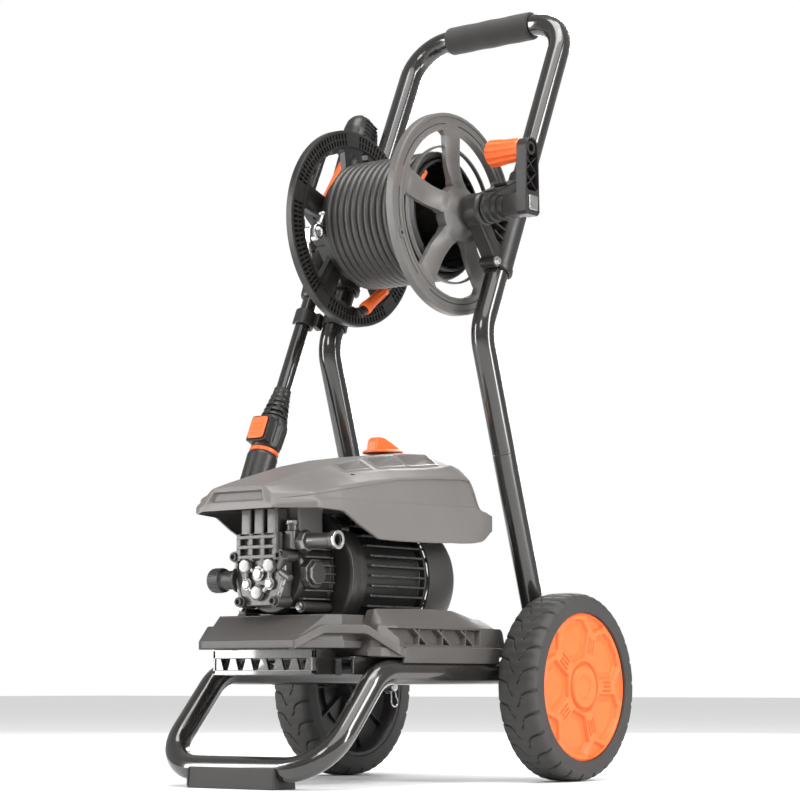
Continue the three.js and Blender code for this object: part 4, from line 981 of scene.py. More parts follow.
# ---- pump ---------------------------------------------------------------------------------------------
# A die-cast axial pump: ribbed crankcase, then a forged head with three valve towers, valve caps, socket
# screws
# and hexagon plugs, a plastic water inlet on its left and a steel outlet pipe on its right.
case = [turned(rounded([(20, -351.7), (44, -351.7), (46, -346), (50, -304), (53, -303), (53, -300.3),
                        (20, -300.3)], 1.2, 4, False),
               motor_axis, "y", 96)]
for k in range(-4, 5):
    z = k * 9.6
    reach = math.sqrt(max(58 ** 2 - z * z, 0))
    rib = rounded([(-346, 20), (-304, 20), (-304, reach), (-311, reach), (-346, reach - 7)], 1.5, 4)
    for side in (-1, 1):
        case.append(slab(rib, MOTOR_Z + z - 1.1, MOTOR_Z + z + 1.1, 0.6,
                         turn=np.array([(0, 1, 0), (side, 0, 0), (0, 0, 1)])))
octagon = circle(14, 8) @ np.array([[math.cos(math.pi / 8), math.sin(math.pi / 8)], [-math.sin(math.pi / 8),
        math.cos(math.pi / 8)]])
for side in (-1, 1):
    case.append(slab(octagon * (1.25, 1.25), *sorted((side * 45, side * 55)), 1.0,
                     turn=np.array([(0, 1, 0), (0, 0, 1), (1, 0, 0)]), at=(0, -338, MOTOR_Z)))
    case.append(slab(octagon, *sorted((side * 54, side * 60)), 1.6, turn=np.array([(0, 1, 0), (0, 0, 1),
            (1, 0, 0)]), at=(0, -338, MOTOR_Z)))
for x, z in ((-44, 205), (44, 205), (-44, 281), (44, 281)):
    case.append(bar((x, -351, z), (x, -300, z), 6.2, edge=1.0))
    case += hex_bolt((x, -351, z), (0, -1, 0), 9, 5)
piece("pump_crankcase", case, cast, "frame", "crankcase", slot="cast_metal")

head = [slab(rounded([(-30, 214), (-24, 206), (24, 206), (30, 214), (34, 240), (31, 268), (31, 291),
                      (-31, 291), (-31, 268), (-34, 240)], 3),
             -372, -352.3, 1.6, turn=turn_y)]
lugs = ((-34, 263), (34, 263), (-26, 211), (26, 211))
for x, z in lugs:
    head.append(bar((x, -352.3, z), (x, -377, z), 7.4, 6.6, 0.8))
for row, z in enumerate((262, 273.5, 285)):
    head.append(slab(outline_box((-30, z - 2.2), (30, z + 2.2), 1), -379, -368, 0.9, turn=turn_y))
for x in (-27.5, -9, 9, 27.5):
    head.append(slab(outline_box((x - 3.2, 258), (x + 3.2, 289), 1), -378.4, -368, 0.9, turn=turn_y))
head += [slab(outline_box((x - 7.4, -374.5), (x + 7.4, -354), 2), 288, 317.8, 1.2) for x in (-19.5, 0, 19.5)]
caps = []
for x, z, r in ((-18, 252, 8.2), (18, 252, 8.2), (0, 221, 8.2)):
    head.append(bar((x, -368, z), (x, -376.5, z), r + 1.8, r + 1.2, 0.8))
    caps.append(turned(rounded([(0.4, 0), (r, 0), (r, 2.6), (r - 1.4, 3.8), (0.4, 4.0)], 0.6, 4, False),
                       (x, -376.2, z), (0, -1, 0), 40))
for x, z, r in ((0, 243, 7), (-17, 231, 6), (17, 231, 6), (-9, 262, 4), (9, 262, 4)):
    head.append(bar((x, -368, z), (x, -374.5, z), r + 1.6, r + 0.8, 0.6))
    caps += hex_bolt((x, -374.5, z), (0, -1, 0), r * 1.6, 3.5)
for (x, z), (u, w) in zip(((-18, 252), (18, 252), (-18, 252), (18, 252)), ((0, 243), (0, 243), (-17, 231),
        (17, 231))):
    head.append(tube([(x, -372, z), ((x + u) / 2, -374, (z + w) / 2), (u, -372, w)], 3.6, 14))
head += [tube([(s * 17, -372, 231), (s * 10, -374, 224), (0, -372, 221)], 3.6, 14) for s in (-1, 1)]
head += [tube([(s * 34, -371, 263), (s * 37, -371, 240), (s * 27, -371, 212)], 3.0, 14) for s in (-1, 1)]
piece("pump_head_forging", head, bright_cast, "frame", "pump_head", slot="cast_metal")
piece("pump_caps", caps, cap_cast, "frame", slot="bright_steel")
piece("pump_screws", [s for x, z in lugs for s in socket_screw((x, -376.4, z), (0, -1, 0), 5.2, 4.6)], black,
      "frame",
      slot="black_plastic")

# The inlet: a ribbed plastic union nut on a barbed tail, screwed into the head's left side.
inlet_centre = (0, -366, 237)
inlet = [turned(rounded([(6.5, -34), (15, -34), (15, -38), (11, -39), (11, -56), (12.4, -58), (14, -59),
                         (14, -74.6), (12.8, -76), (6.5, -76)], 0.8, 4),
                inlet_centre, "x", 64, True)]
inlet += [slab(outline_box((-74, -1.0), (-61, 1.0), 0.7), 13.4, 14.6, 0.4, at=inlet_centre,
               turn=np.array([(1, 0, 0), (0, -math.sin(a), math.cos(a)), (0, math.cos(a), math.sin(a))]))
          for a in np.arange(16) * math.pi / 8]
piece("inlet_union", inlet, black, "frame", "water_inlet", slot="black_plastic")

# The outlet: a steel pipe with a bright flared end in a cast elbow, and a knurled lock ring.
outlet_centre = (0, -352, 279.5)
pipe = [turned(rounded([(6.4, 46), (8.8, 46), (8.8, 90), (10.6, 92), (10.6, 97.4), (6.4, 97.6), (6.4, 90)],
                       0.5, 4),
               outlet_centre, "x", 56, True),
        slab(outline_box((31, -367), (46, -352.6), 3), 270, 292, 1.6),
        turned(rounded([(6, 46), (13, 46), (13.5, 52), (12, 57), (6, 57)], 1.0, 4, False), outlet_centre, "x",
               8),
        bar((38, -360, 291), (38, -360, 299), 6.4, edge=0.8), *hex_bolt((38, -360, 299), (0, 0, 1), 11, 5),
        bar((30, -371, 250), (43, -379, 262), 5.5, 4.6, 0.8), bar((33, -372, 244), (48, -374, 236), 4.6, 4.0,
                0.8)]
piece("outlet_pipe", pipe, bright_cast, "frame", "pump_outlet", slot="cast_metal")
piece("outlet_lip", [turned(rounded([(7.2, 97.6), (10.8, 97.6), (10.8, 100.4), (7.2, 100.4)], 0.5, 4),
                            outlet_centre, "x", 56, True)],
      steel, "frame", slot="bright_steel")

# The pressure switch: a pale grey moulded box with a ribbed lid.
switch_grey = grey_moulding("switch_plastic", (0.115, 0.112, 0.108), (0.165, 0.160, 0.155), 0.40)
switch = [slab(outline_box((-12, -350), (40, -306), 3), 290, 320, 1.4),
          slab(outline_box((-12.6, -350.6), (40.6, -305.4), 3), 318, 324.6, 1.2)]
switch += [slab(outline_box((x, -350.9), (x + 1.8, -349), 0.5), 294, 316, 0.4) for x in range(-8, 38, 9)]
piece("pressure_switch", switch, switch_grey, "frame", "pressure_switch_box", slot="cover_plastic")


# ---- hood ---------------------------------------------------------------------------------------------
# One satin grey moulding over motor and pump: a lip at the front with a sunk face, a flat crown, a scooped
# louvre facet along each shoulder, a sunk side panel, and a deeper skirt at the back.
hood_grey = grey_moulding("hood_plastic", (0.115, 0.107, 0.101), (0.165, 0.156, 0.149), 0.34)
# Y, then half width and height of crown edge, louvre foot, panel top and belt, then the skirt's bottom height
STATIONS = np.array([
    (-416.0, 45, 322, 48, 321, 52, 319.6, 55, 317.8, 314.5),
    (-410.5, 36, 341, 41, 339, 50, 331, 58, 319.5, 314.5),
    (-380, 38, 350, 54, 345, 84, 333, 93, 323, 314.8),
    (-340, 40, 361, 66, 353, 93.5, 341.5, 98.4, 323.5, 313),
    (-313, 42, 368, 74, 358, 96.5, 346.5, 99.5, 324, 299),
    (-276, 44, 377, 80, 363, 97.5, 352, 100, 325, 283.5),
    (-233, 44, 386, 84, 368, 97.8, 357.5, 100, 325.5, 283),
    (-170, 44, 395, 86, 373, 97.8, 363, 100, 326.5, 284),
    (-130, 46, 397.4, 84, 378, 97.4, 365.4, 100, 327, 286),
    (-113, 52, 396.0, 84, 382, 97.4, 366.5, 100, 327, 286),
    (-94, 52, 389, 82, 379, 96, 366, 100, 327.5, 287),
    (-84, 50, 376, 81, 368, 95.4, 356, 100, 327.5, 288),
    (-71, 42, 352, 80, 334, 95, 330, 100, 327.5, 290),
    (-66, 42, 343, 79, 331, 95.5, 329, 100, 327.5, 292),
    (-48, 42, 327.6, 74, 327, 93, 326, 98, 323, 304)])


def hood_shell():
    """Section corners are carried through the stations in Y, then eased; the panels are sunk by masks in (y, z)."""
    y = np.unique(np.concatenate([np.linspace(-416, -410, 22), np.arange(-410, -48, 2.0), [-48]]))
    lines = np.stack([np.interp(y, STATIONS[:, 0], STATIONS[:, c]) for c in range(1, 10)], -1)
    ease = np.array([1, 2, 3, 2, 1]) / 9
    eased = np.stack([np.convolve(np.pad(c, 2, "edge"), ease, "valid") for c in lines.T], -1)
    lines = np.where((y > -404)[:, None], eased, lines)
    ax, az, bx, bz, cx, cz, dx, dz, foot = lines.T
    ones = np.ones_like(y)
    half = [(ones * 0, az), (ax, az), (bx, bz), (cx, cz), (dx - 0.6, dz), (dx, dz - 1.6), (dx, foot + 1.0),
            (dx - 1.0, foot)]
    half = np.stack([np.stack(p, -1) for p in half], 1)
    s = np.concatenate([np.linspace(0, 1, 18)[:-1], np.linspace(1, 2, 30)[:-1], np.linspace(2, 3, 14)[:-1],
                        np.linspace(3, 4, 34)[:-1], np.linspace(4, 5, 3)[:-1], np.linspace(5, 6, 20)[:-1],
                            np.linspace(6, 7, 3)])
    whole = np.minimum(s.astype(int), 6)
    part = (s - whole)[None, :, None]
    outer = half[:, whole] * (1 - part) + half[:, whole + 1] * part
    soft = outer.copy()
    soft[:, 1:-1] = (outer[:, :-2] + 2 * outer[:, 1:-1] + outer[:, 2:]) / 4
    outer = np.where(((s > 0.8) & (s < 3.4))[None, :, None], soft, outer)
    back = np.broadcast_to(y[:, None], outer.shape[:2]).copy()
    x, z = outer[..., 0].copy(), outer[..., 1].copy()

    # the sunk side panel, deepest at its back edge
    panel = np.array([(-404, 325.5), (-72.5, 330.2), (-93, 362.5), (-110, 363.5), (-170, 360.6), (-233, 355),
                      (-290, 346.8),
                      (-340, 337.5), (-384, 330)])
    inside = smooth_step((depth_inside(back, z, panel) + 0.5) / 1.2)
    on_side = (s > 2.9) & (s < 4.0)
    x -= inside * on_side * (1.3 + 1.3 * smooth_step((back + 250) / 150))
    # three scoops in the louvre facet: each floor falls from its rim at the back to a steep front wall
    facet = (s - 1.0)
    for front, rear in ((-304, -262), (-250, -201), (-194, -139)):
        along = (back - front) / (rear - front)
        lean = along - 0.28 * np.clip(1 - facet, 0, 1)
        scoop = smooth_step(lean / 0.05) * smooth_step((1.0 - lean) / 0.04) * (along < 1.3)
        across = smooth_step((facet - 0.16) / 0.07) * smooth_step((0.80 - facet) / 0.06)
        rim_line = smooth_step((lean + 0.07) / 0.05) * smooth_step((1.06 - lean) / 0.05)
        rim_line = rim_line * smooth_step((facet - 0.07) / 0.05) * smooth_step((0.90 - facet) / 0.05) * (along < 1.3)
        on_facet = (s >= 1) & (s <= 2)
        fall = 10.5 * (1 - np.clip(lean, 0, 1)) ** 0.8
        z += on_facet * (rim_line * 1.5 - scoop * across * (fall + 1.5))
        x -= on_facet * scoop * across * fall * 0.35
    # the sunk face of the front lip
    face = smooth_step((37.5 + (330 - z) * 0.35 - x) / 2.0) * smooth_step((z - 322.8) / 1.6) * smooth_step((335.6 - z) / 1.6)
    back += (y[:, None] < -410.2) * (s < 1)[None] * face * 4.2

    wall = 3.0
    depth = smooth_step((y + 411) / 4) * smooth_step((-52 - y) / 3)
    smooth_half = half[:, whole] * (1 - part) + half[:, whole + 1] * part
    inner_x = np.maximum(smooth_half[..., 0] - wall * np.clip(s, 0, 1), 0)
    inner_z = smooth_half[..., 1] - wall - 11 * ((s > 0.9) & (s < 2.1)) * smooth_step((y[:,
            None] + 320) / 10) * smooth_step((-125 - y[:, None]) / 10)
    low = foot[:, None]
    inner_z = low + np.maximum(inner_z - low, 0) * depth[:, None]
    right = np.stack([x, back, z], -1)
    left = right[:, :0:-1] * (-1, 1, 1)
    inner_right = np.stack([inner_x, np.broadcast_to(y[:, None], inner_x.shape), inner_z], -1)
    inner_left = inner_right[:, :0:-1] * (-1, 1, 1)
    ring = np.concatenate([left, right, inner_right[:, ::-1], inner_left[:, ::-1]], 1)
    return skin(ring)


LANCE_TIP = np.array([-155, -217, 334.0])
lance_turn = np.array([(1, 0, 0), (0, 0.91612, -0.40091), (0, 0.40091, 0.91612)])


def on_lance(surface):
    """Puts a shape drawn round the lance, tip at the origin and barrel along +Z, in its parked place."""
    points, faces = surface
    return points @ lance_turn + LANCE_TIP, faces


cup_profile = rounded([(8, -3.6), (24, -3.6), (24, 28), (22.6, 28), (21.5, 26.5), (21.5, -0.4), (8, -0.4)],
                      0.8, 4)
hood_parts = [hood_shell(), on_lance(turned(cup_profile, (0, 0, 0), "z", 64, True)),
              slab(outline_box((-134.2, -226), (-99.2, -202), 3), 312, 338, 2.0)]
hood_parts += [slab(rounded([(-225, 300), (-203, 300), (-203, 314), (-225, 314)], 2), -118, -99.4, 1,
                    turn=turn_x)]
piece("hood_moulding", hood_parts, hood_grey, "frame", "hood", slot="hood_plastic", smooth=32)
grilles = []
for side in (-1, 1):
    for front, rear in ((-304, -262), (-250, -201), (-194, -139)):
        level = np.interp(front + 14, STATIONS[:, 0], STATIONS[:, 4])
        outline = rounded([(front + 3, 56), (rear - 16, 56), (rear - 22, 80), (front + 1, 80)], 2)
        grilles.append(slab(outline, level - 6, level - 2.2, 0.6, turn=np.array([(0, 1, 0), (side, 0, 0),
                (0, 0, 1)])))
piece("louvre_floors", grilles, black, "frame", slot="black_plastic")

# The rotary switch: a skirted orange knob with a tall wing that falls away to the back.
KNOB = (0.0, -142.0)
piece("switch_base", [slab(outline_box((-14, -156), (14, -128), 3), 352, 378, 1.2), bar((*KNOB, 377),
        (*KNOB, 400), 8, edge=0.8)],
      black, "frame", "switch_body", slot="black_plastic")
knob = [turned(rounded([(6, 399), (25, 399), (25, 401.4), (22, 402.8), (4, 403.4)], 0.9, 5, False),
               (*KNOB, 0), "z", 64),
        turned(rounded([(2, 391), (6, 391), (6, 401), (2, 401)], 0.5, 3, False), (*KNOB, 0), "z", 24)]
wing = rounded([(-24, 400), (24, 400), (23, 408), (-4, 418), (-15, 418.4), (-21, 415)], [1, 1, 2, 3, 3, 4], 6)
knob.append(slab(wing, -7.5, 7.5, 2.2, turn=np.array([(0, 1, 0), (0, 0, 1), (1, 0, 0)]), at=(KNOB[0], KNOB[1],
        0)))
piece("rotary_knob", knob, orange, "power_switch", "switch_knob", slot="orange_plastic")


# ---- hose reel ----------------------------------------------------------------------------------------
# Two moulded flanges on a drum. Each has five spokes that sweep up into a hub; the left one's rim is
# stiffened
# by two rows of small radial ribs, the right one's by a raised lip and grooves. Screws hold them to the drum.
reel_grey = grey_moulding("flange_plastic", (0.085, 0.080, 0.076), (0.130, 0.124, 0.118), 0.33)
reel_at = (0, REEL_Y, REEL_Z)
SECTOR = 2 * np.pi / 5
SCREW_CIRCLE = 114.6                # where the rim's screws sit
HALF_COLUMNS = 48                   # columns from a spoke's middle to the middle of the window beside it
SPOKE_COLUMNS = 12


def flange_grid(radii, rim_row, hub_row, spoke_half, notch):
    """Rings r(i) by columns a(k). A spoke's edge is a column: a = asin(half width / r) there, and the columns
    between are spread evenly. Windows lie between the hub row and the rim row; their corners are rounded."""
    radii = np.asarray(radii, float)[:, None]
    k = np.arange(10 * HALF_COLUMNS)
    beyond = k % (2 * HALF_COLUMNS)
    from_spoke = np.minimum(beyond, 2 * HALF_COLUMNS - beyond)
    rim_r, hub_r = radii[rim_row, 0], radii[hub_row, 0]
    rim_angle = SECTOR / 2 * SPOKE_COLUMNS / HALF_COLUMNS
    half = np.interp(radii, [hub_r, rim_r], [spoke_half, rim_r * np.sin(rim_angle)])
    edge = np.where(radii > rim_r, rim_angle, np.arcsin(np.minimum(half / radii, np.sin(SECTOR / 2 * 0.85))))
    on = np.minimum(from_spoke / SPOKE_COLUMNS, 1)[None]
    off = np.clip((from_spoke - SPOKE_COLUMNS) / (HALF_COLUMNS - SPOKE_COLUMNS), 0, 1)[None]
    angle = np.where(from_spoke[None] <= SPOKE_COLUMNS, edge * on, edge + (SECTOR / 2 - edge) * off)
    angle = np.where(beyond[None] > HALF_COLUMNS, SECTOR - angle, angle)
    angle = angle + (k // (2 * HALF_COLUMNS))[None] * SECTOR + math.radians(20.05)
    past_edge = off * SECTOR / 2
    corner = np.exp(-(past_edge * rim_r / 5.0) ** 2) * (off > 0) + (from_spoke <= SPOKE_COLUMNS) * 1.0
    row = np.arange(len(radii))[:, None]
    near_rim = np.clip(1 - abs(row - rim_row) / 3, 0, 1) * (row <= rim_row)
    near_hub = np.clip(1 - abs(row - hub_row) / 3, 0, 1) * (row >= hub_row)
    r = radii - (6 * corner + notch(k, from_spoke)) * near_rim + 4 * corner * near_hub
    window = (row[:-1] >= hub_row) & (row[:-1] < rim_row)
    solid_cells = ~(window & (np.minimum(from_spoke, np.roll(from_spoke, -1)) >= SPOKE_COLUMNS)[None])
    return r * np.cos(angle), r * np.sin(angle), r, angle, from_spoke[None], solid_cells


def swell(value, low, high):
    """0 below low, 1 above high, eased between."""
    return smooth_step((value - low) / (high - low))


HUB_ROWS = [8.3, 12, 16, 18, 20.5, 23, 25.5, 28, 30, 32.5]
SPAN_ROWS = list(np.linspace(35, 103, 22))
right_rows = HUB_ROWS + SPAN_ROWS + [104.2, 104.8, 107.4, 108.0, 110, 111.6, 112.0, 113.0, 113.4, 116, 120.4,
                                     121, 121.6, 124.6,
                                     125.6, 126]
x, y, r, angle, from_spoke, solid_cells = flange_grid(right_rows, 32, 10, 12.5, lambda k, s: 0)
bulge = (1 - np.clip(from_spoke / SPOKE_COLUMNS, 0, 1) ** 2) * swell(r, 30, 40) * (1 - swell(r, 92, 106))
outer_face = 82.6 + 1.9 * (swell(r, 103.9, 104.5) - swell(r, 107.6, 108.2)) + 1.9 * (swell(r, 120.9, 121.4))
outer_face -= 1.7 * (swell(r, 111.6, 112.0) - swell(r, 113.0, 113.4)) * (from_spoke > 9)
outer_face -= 1.4 * swell(r, 125.2, 126)
outer_face += 20.0 * np.clip((70 - r) / 50, 0, 1) ** 1.9 + 3.0 * bulge
inner_face = 76.5 - 3 * swell(r, 104.0, 104.6)
inner_face = inner_face + np.clip(outer_face - 82.6, 0, 6) * 0.6 * (r < 100)
flange_right = [pierced(x, y, inner_face, outer_face, solid_cells, turn_x, reel_at)]
# the window's inner webs: a thin wall follows each window's edge back towards the drum
flange_right.append(turned(rounded([(84, 72.2), (86.4, 72.2), (86.4, 77.4), (84, 77.4)], 0.4, 3), reel_at,
                           "x", 128, True))
for angle_deg in (56, 128, 200, 272, 344):
    a = math.radians(angle_deg)
    at = np.array([0, REEL_Y + SCREW_CIRCLE * math.cos(a), REEL_Z + SCREW_CIRCLE * math.sin(a)])
    if angle_deg in (56, 200):
        flange_right.append(turned(rounded([(2.6, 82.4), (5.6, 82.4), (5.6, 84.0), (2.6, 84.0)], 0.3, 3), at,
                                   "x", 32, True))
piece("flange_moulding_right", flange_right, reel_grey, "reel", "reel_flange_right", slot="cover_plastic",
      smooth=28)
piece("flange_screws", [s for a in (56, 200) for s in socket_screw((82.6,
        REEL_Y + SCREW_CIRCLE * math.cos(math.radians(a)),
                                                                   REEL_Z + SCREW_CIRCLE * math.sin(math.radians(a))), "x", 2.4, 1.0)]
      + [s for a in (92, 164, 236, 308, 20) for s in socket_screw((84.6,
              REEL_Y + 46 * math.cos(math.radians(a + 0.05)),
                                                                   REEL_Z + 46 * math.sin(math.radians(a + 0.05))), "x", 3.4, 5.0)],
      black, "reel", slot="black_plastic")

left_rows = HUB_ROWS + SPAN_ROWS + [103.8, 105.6, 106.2, 106.7, 112.9, 113.4, 114.6, 115.1, 121.4, 121.9,
                                    123.2, 124.6, 126]
x, y, r, angle, from_spoke, solid_cells = flange_grid(
    left_rows, 32, 10, 12.5,
    lambda k, s: 5.5 * (swell(s, 22, 24) - swell(s, 31, 33)) + 3 * (swell(s, 38, 40) - swell(s, 44, 46)))
pocket_column = np.isin(np.arange(10 * HALF_COLUMNS) % 4, (2, 3))[None]
in_rows = (swell(r, 106.2, 106.7) - swell(r, 112.9, 113.4)) + (swell(r, 114.6, 115.1) - swell(r, 121.4,
        121.9))
pockets = in_rows * pocket_column * (from_spoke > 7) * 4.5
inner_face = -74.0 - pockets - 0.9 * swell(r, 125, 126) - 1.6 * (1 - swell(r, 98, 103)) * swell(r, 33, 36)
outer_face = -84.0 + 0.9 * swell(r, 125, 126)
outer_face -= 19 * np.clip((66 - r) / 46, 0, 1) ** 1.9
hollow = swell(from_spoke, 0, SPOKE_COLUMNS - 3)
inner_face -= 3.2 * (1 - hollow) * swell(r, 44, 50) * (1 - swell(r, 90, 98))
# the pockets' ribs stand square: their columns are moved together in pairs
pinch = np.where(np.arange(10 * HALF_COLUMNS) % 4 == 1, 0.34, np.where(np.arange(10 * HALF_COLUMNS) % 4 == 0,
        -0.34, 0))
swing = (pinch * SECTOR / (2 * HALF_COLUMNS))[None] * (r > 104.5)
x, y = x * np.cos(swing) - y * np.sin(swing), x * np.sin(swing) + y * np.cos(swing)
flange_left = [pierced(x, y, outer_face, inner_face, solid_cells, turn_x, reel_at),
               turned(rounded([(104.4, -74.4), (105.8, -74.4), (105.8, -71.6), (104.4, -71.6)], 0.3, 3),
                      reel_at, "x", 160, True)]
piece("flange_moulding_left", flange_left, black, "reel", "reel_flange_left", slot="black_plastic", smooth=28)

# The drum: a ribbed barrel between the flanges, open at its right end, webbed inside, with a socket for the
# shaft.
drum = [turned(rounded([(66.8, -72.8), (70, -72.8), (70, 72.8), (66.8, 72.8)], 0.6, 3), reel_at, "x", 128,
               True),
        turned(rounded([(8.3, -72.8), (68, -72.8), (68, -69.8), (27, -69.8), (21, 66), (20, 70), (8.3, 70)],
                       1.0, 4), reel_at, "x", 96, True)]
for k in range(10):
    a = math.radians(36 * k + 2)
    turn = np.array([(1, 0, 0), (0, math.cos(a), math.sin(a)), (0, -math.sin(a), math.cos(a))])
    outline = rounded([(-70, 20), (40, 20), (-8, 67.5), (-70, 67.5)], 3)
    drum.append(slab(outline, -1.1, 1.1, 0.4, at=reel_at, turn=turn))
for k in range(16):
    a = 2 * math.pi * k / 16
    turn = np.array([(1, 0, 0), (0, math.cos(a), math.sin(a)), (0, -math.sin(a), math.cos(a))])
    drum.append(slab(outline_box((30, 64.4), (71, 67.4), 0.6), -0.9, 0.9, 0.3, at=reel_at, turn=turn))
piece("reel_drum", drum, black, "reel", "reel_core", slot="black_plastic")

# The hose's inner end comes through the drum wall in an orange cap, clipped beside the right flange.
cap_low, cap_high = np.array([61.0, -168.0, 734.0]), np.array([61.0, -147.5, 761.0])
reel_middle = np.array([61.0, REEL_Y, REEL_Z])
cap_low, cap_high = (reel_middle + (p - reel_middle) * 0.80 for p in (cap_low, cap_high))
along_cap = np.linspace(0, 1, 21)[:, None]
cap_radius = 6.4 * np.sqrt(np.clip(1 - (2 * abs(along_cap - 0.5) - 0.72).clip(0) ** 2 / 0.0785, 0.02, 1))
cap_path = cap_low + (cap_high - cap_low) * along_cap
piece("hose_inner_cap", [skin(carried(cap_path, circle(1, 24)[None] * cap_radius[:, None]))], orange, "reel",
      slot="orange_plastic")

# A bright steel ring and eye on the left flange hold the hose's swivel joint.
eye_at = np.array([-70.0, REEL_Y - 79, REEL_Z - 16])
ring_angle = np.linspace(0, 2 * np.pi, 41)[:-1, None]
ring_path = eye_at + np.concatenate([0 * ring_angle, 8 * np.cos(ring_angle), 8 * np.sin(ring_angle)], 1)
ring = carried(np.concatenate([ring_path, ring_path[:1]]), circle(2.0, 12))[:-1]
piece("swivel_eye", [skin(ring, True), bar(eye_at + (0, 4, 10), eye_at + (0, 10, 22), 4.6, 3.8, 0.8),
                     *hex_bolt(eye_at + (0, 10, 22), (0, 0.45, 0.9), 9, 4), bar(eye_at + (-9, 0, -8),
                             eye_at + (1, 0, -8), 3.4, 3.0, 0.5),
                     bar(eye_at + (-9, 6, 6), eye_at + (1, 6, 6), 2.8, 2.4, 0.5)], steel, "reel",
                         slot="bright_steel")

# The shaft, ground steel, chamfered at both ends, with a circlip beside each bracket.
shaft = [turned(rounded([(0.3, -111.6), (7, -111.6), (8, -110.4), (8, 170.8), (7, 172), (0.3, 172)], 0.3, 3,
                        False), reel_at, "x", 48)]
shaft += [turned([(7.4, c), (9.6, c), (9.6, c + 1.2), (7.4, c + 1.2)], reel_at, "x", 48,
                 True) for c in (-104.8, 104.4)]
piece("reel_axle", shaft, steel, "reel", "reel_shaft", slot="bright_steel")

# ---- reel brackets ------------------------------------------------------------------------------------
# A black moulded arm on each side runs from the reel's bearing to a sleeve clamped on the handle tube;
# parallel
# ribs cross its open side, and a screw boss at the sleeve's foot pinches it tight.
Z_LOW, Z_HIGH = 622.0, 752.0


def bracket(side):
    """The sleeve, bearing, beams, web, ribs and boss of one bracket, and the bolt in its boss."""
    x = side * SIDE
    foot, top = np.array([x, handle_y(Z_LOW), Z_LOW]), np.array([x, handle_y(Z_HIGH), Z_HIGH])
    sleeve = rounded([(14.9, 0), (17.4, 0), (17.4, 130), (14.9, 130)], 0.7, 4)
    length = np.linalg.norm(top - foot)
    parts = [turned(sleeve * (1, length / 130), foot, top - foot, 64, True)]
    parts.append(turned(rounded([(17, 1), (18.9, 1), (18.9, 7), (17, 7)], 0.5, 3), foot, top - foot, 64,
                        True))
    bearing = rounded([(8.7, 107.4), (19, 107.4), (21.6, 110), (21.6, 128), (20.0, 131.4), (16.5, 133),
                       (8.7, 133)], 1.2, 4)
    parts.append(turned(bearing * (1, side), (0, REEL_Y, REEL_Z), "x", 64, True))
    low, high = sorted((side * 108.6, side * 131.4))
    # the lower beam, a deep channel, and the upper beam
    lower_beam = rounded([(REEL_Y - 15, REEL_Z - 12), (REEL_Y + 12, REEL_Z - 16), (handle_y(642) - 8, 642),
                          (handle_y(634) - 8, 630),
                          (handle_y(636) - 22, 634)], 3)
    upper_beam = rounded([(REEL_Y - 4, REEL_Z + 14), (REEL_Y + 10, REEL_Z + 8), (handle_y(738) - 12, 736),
                          (handle_y(750) - 12, 750)], 3)
    for beam in (lower_beam, upper_beam):
        parts.append(slab(beam, low + 1.5, high - 1.5, 1.4, turn=turn_x))
    web = rounded([(REEL_Y + 12, REEL_Z - 18), (handle_y(650) - 10, 646), (handle_y(735) - 10, 735),
                   (REEL_Y + 12, REEL_Z + 10)], 2)
    parts.append(slab(web, min(side * 112, side * 114.5), max(side * 112, side * 114.5), 0.6, turn=turn_x))
    # ribs lie square to the sleeve's lean and fill the triangle between hub, beam and sleeve
    for k in range(7):
        z = 652 + k * 12.5
        back = handle_y(z) - 13
        front = np.interp(z, [640, REEL_Z - 14, REEL_Z + 14, 745], [handle_y(640) - 14, REEL_Y + 16,
                REEL_Y + 16, handle_y(745) - 14])
        if back - front > 5:
            rib = np.array([(front - 2, z + 7.2), (front - 2, z + 9.8), (back + 2, z - 2.4),
                            (back + 2, z - 5.0)])
            parts.append(slab(rib, low + 1.8, high - 1.8, 0.5, turn=turn_x))
    boss = np.array([x, handle_y(632) - 20, 634])
    parts.append(bar(boss - (11, 0, 0), boss + (11, 0, 0), 7.4, edge=1.2))
    parts.append(slab(outline_box((handle_y(632) - 20, 629), (handle_y(632) - 12, 641), 1.5), x - 9, x + 9, 1,
                      turn=turn_x))
    return parts, hex_bolt(boss + (side * 11, 0, 0), (side, 0, 0), 8, 4)


for name, side in (("left", -1), ("right", 1)):
    moulded, bolts = bracket(side)
    piece("bracket_moulding_" + name, moulded, black, "frame", "reel_bracket_" + name, slot="black_plastic")
    piece("bracket_bolt_" + name, bolts, steel, "frame", slot="bright_steel")

# The swivel: a turned steel spindle in a hexagon-necked elbow, with a threaded tail for the supply hose.
swivel = [turned(rounded([(4.2, -146), (8.5, -146), (8.5, -112.6), (4.2, -112.6)], 0.5, 3), reel_at, "x", 40,
                 True),
          slab(outline_box((REEL_Y - 9.6, REEL_Z - 12), (REEL_Y + 9.6, REEL_Z + 10), 4), -157.6, -140.4, 1.8,
               turn=turn_x)]
thread_height = np.linspace(0, 18, 73)
thread = np.stack([7.4 + 0.5 * np.cos(thread_height * 2 * np.pi / 1.8), thread_height], -1)
swivel.append(turned(np.concatenate([[(4.2, 0)], thread, [(8, 18.6), (8, 26), (4.2, 26)]]),
                     (-149, REEL_Y, REEL_Z - 36), "z", 40, True))
swivel.append(turned(rounded([(6, 18), (9.4, 18), (9.4, 24), (6, 24)], 0.6, 3), (-149, REEL_Y, REEL_Z - 36),
                     "z", 6, True))
piece("swivel_elbow", swivel, steel, "frame", "reel_swivel", slot="bright_steel")

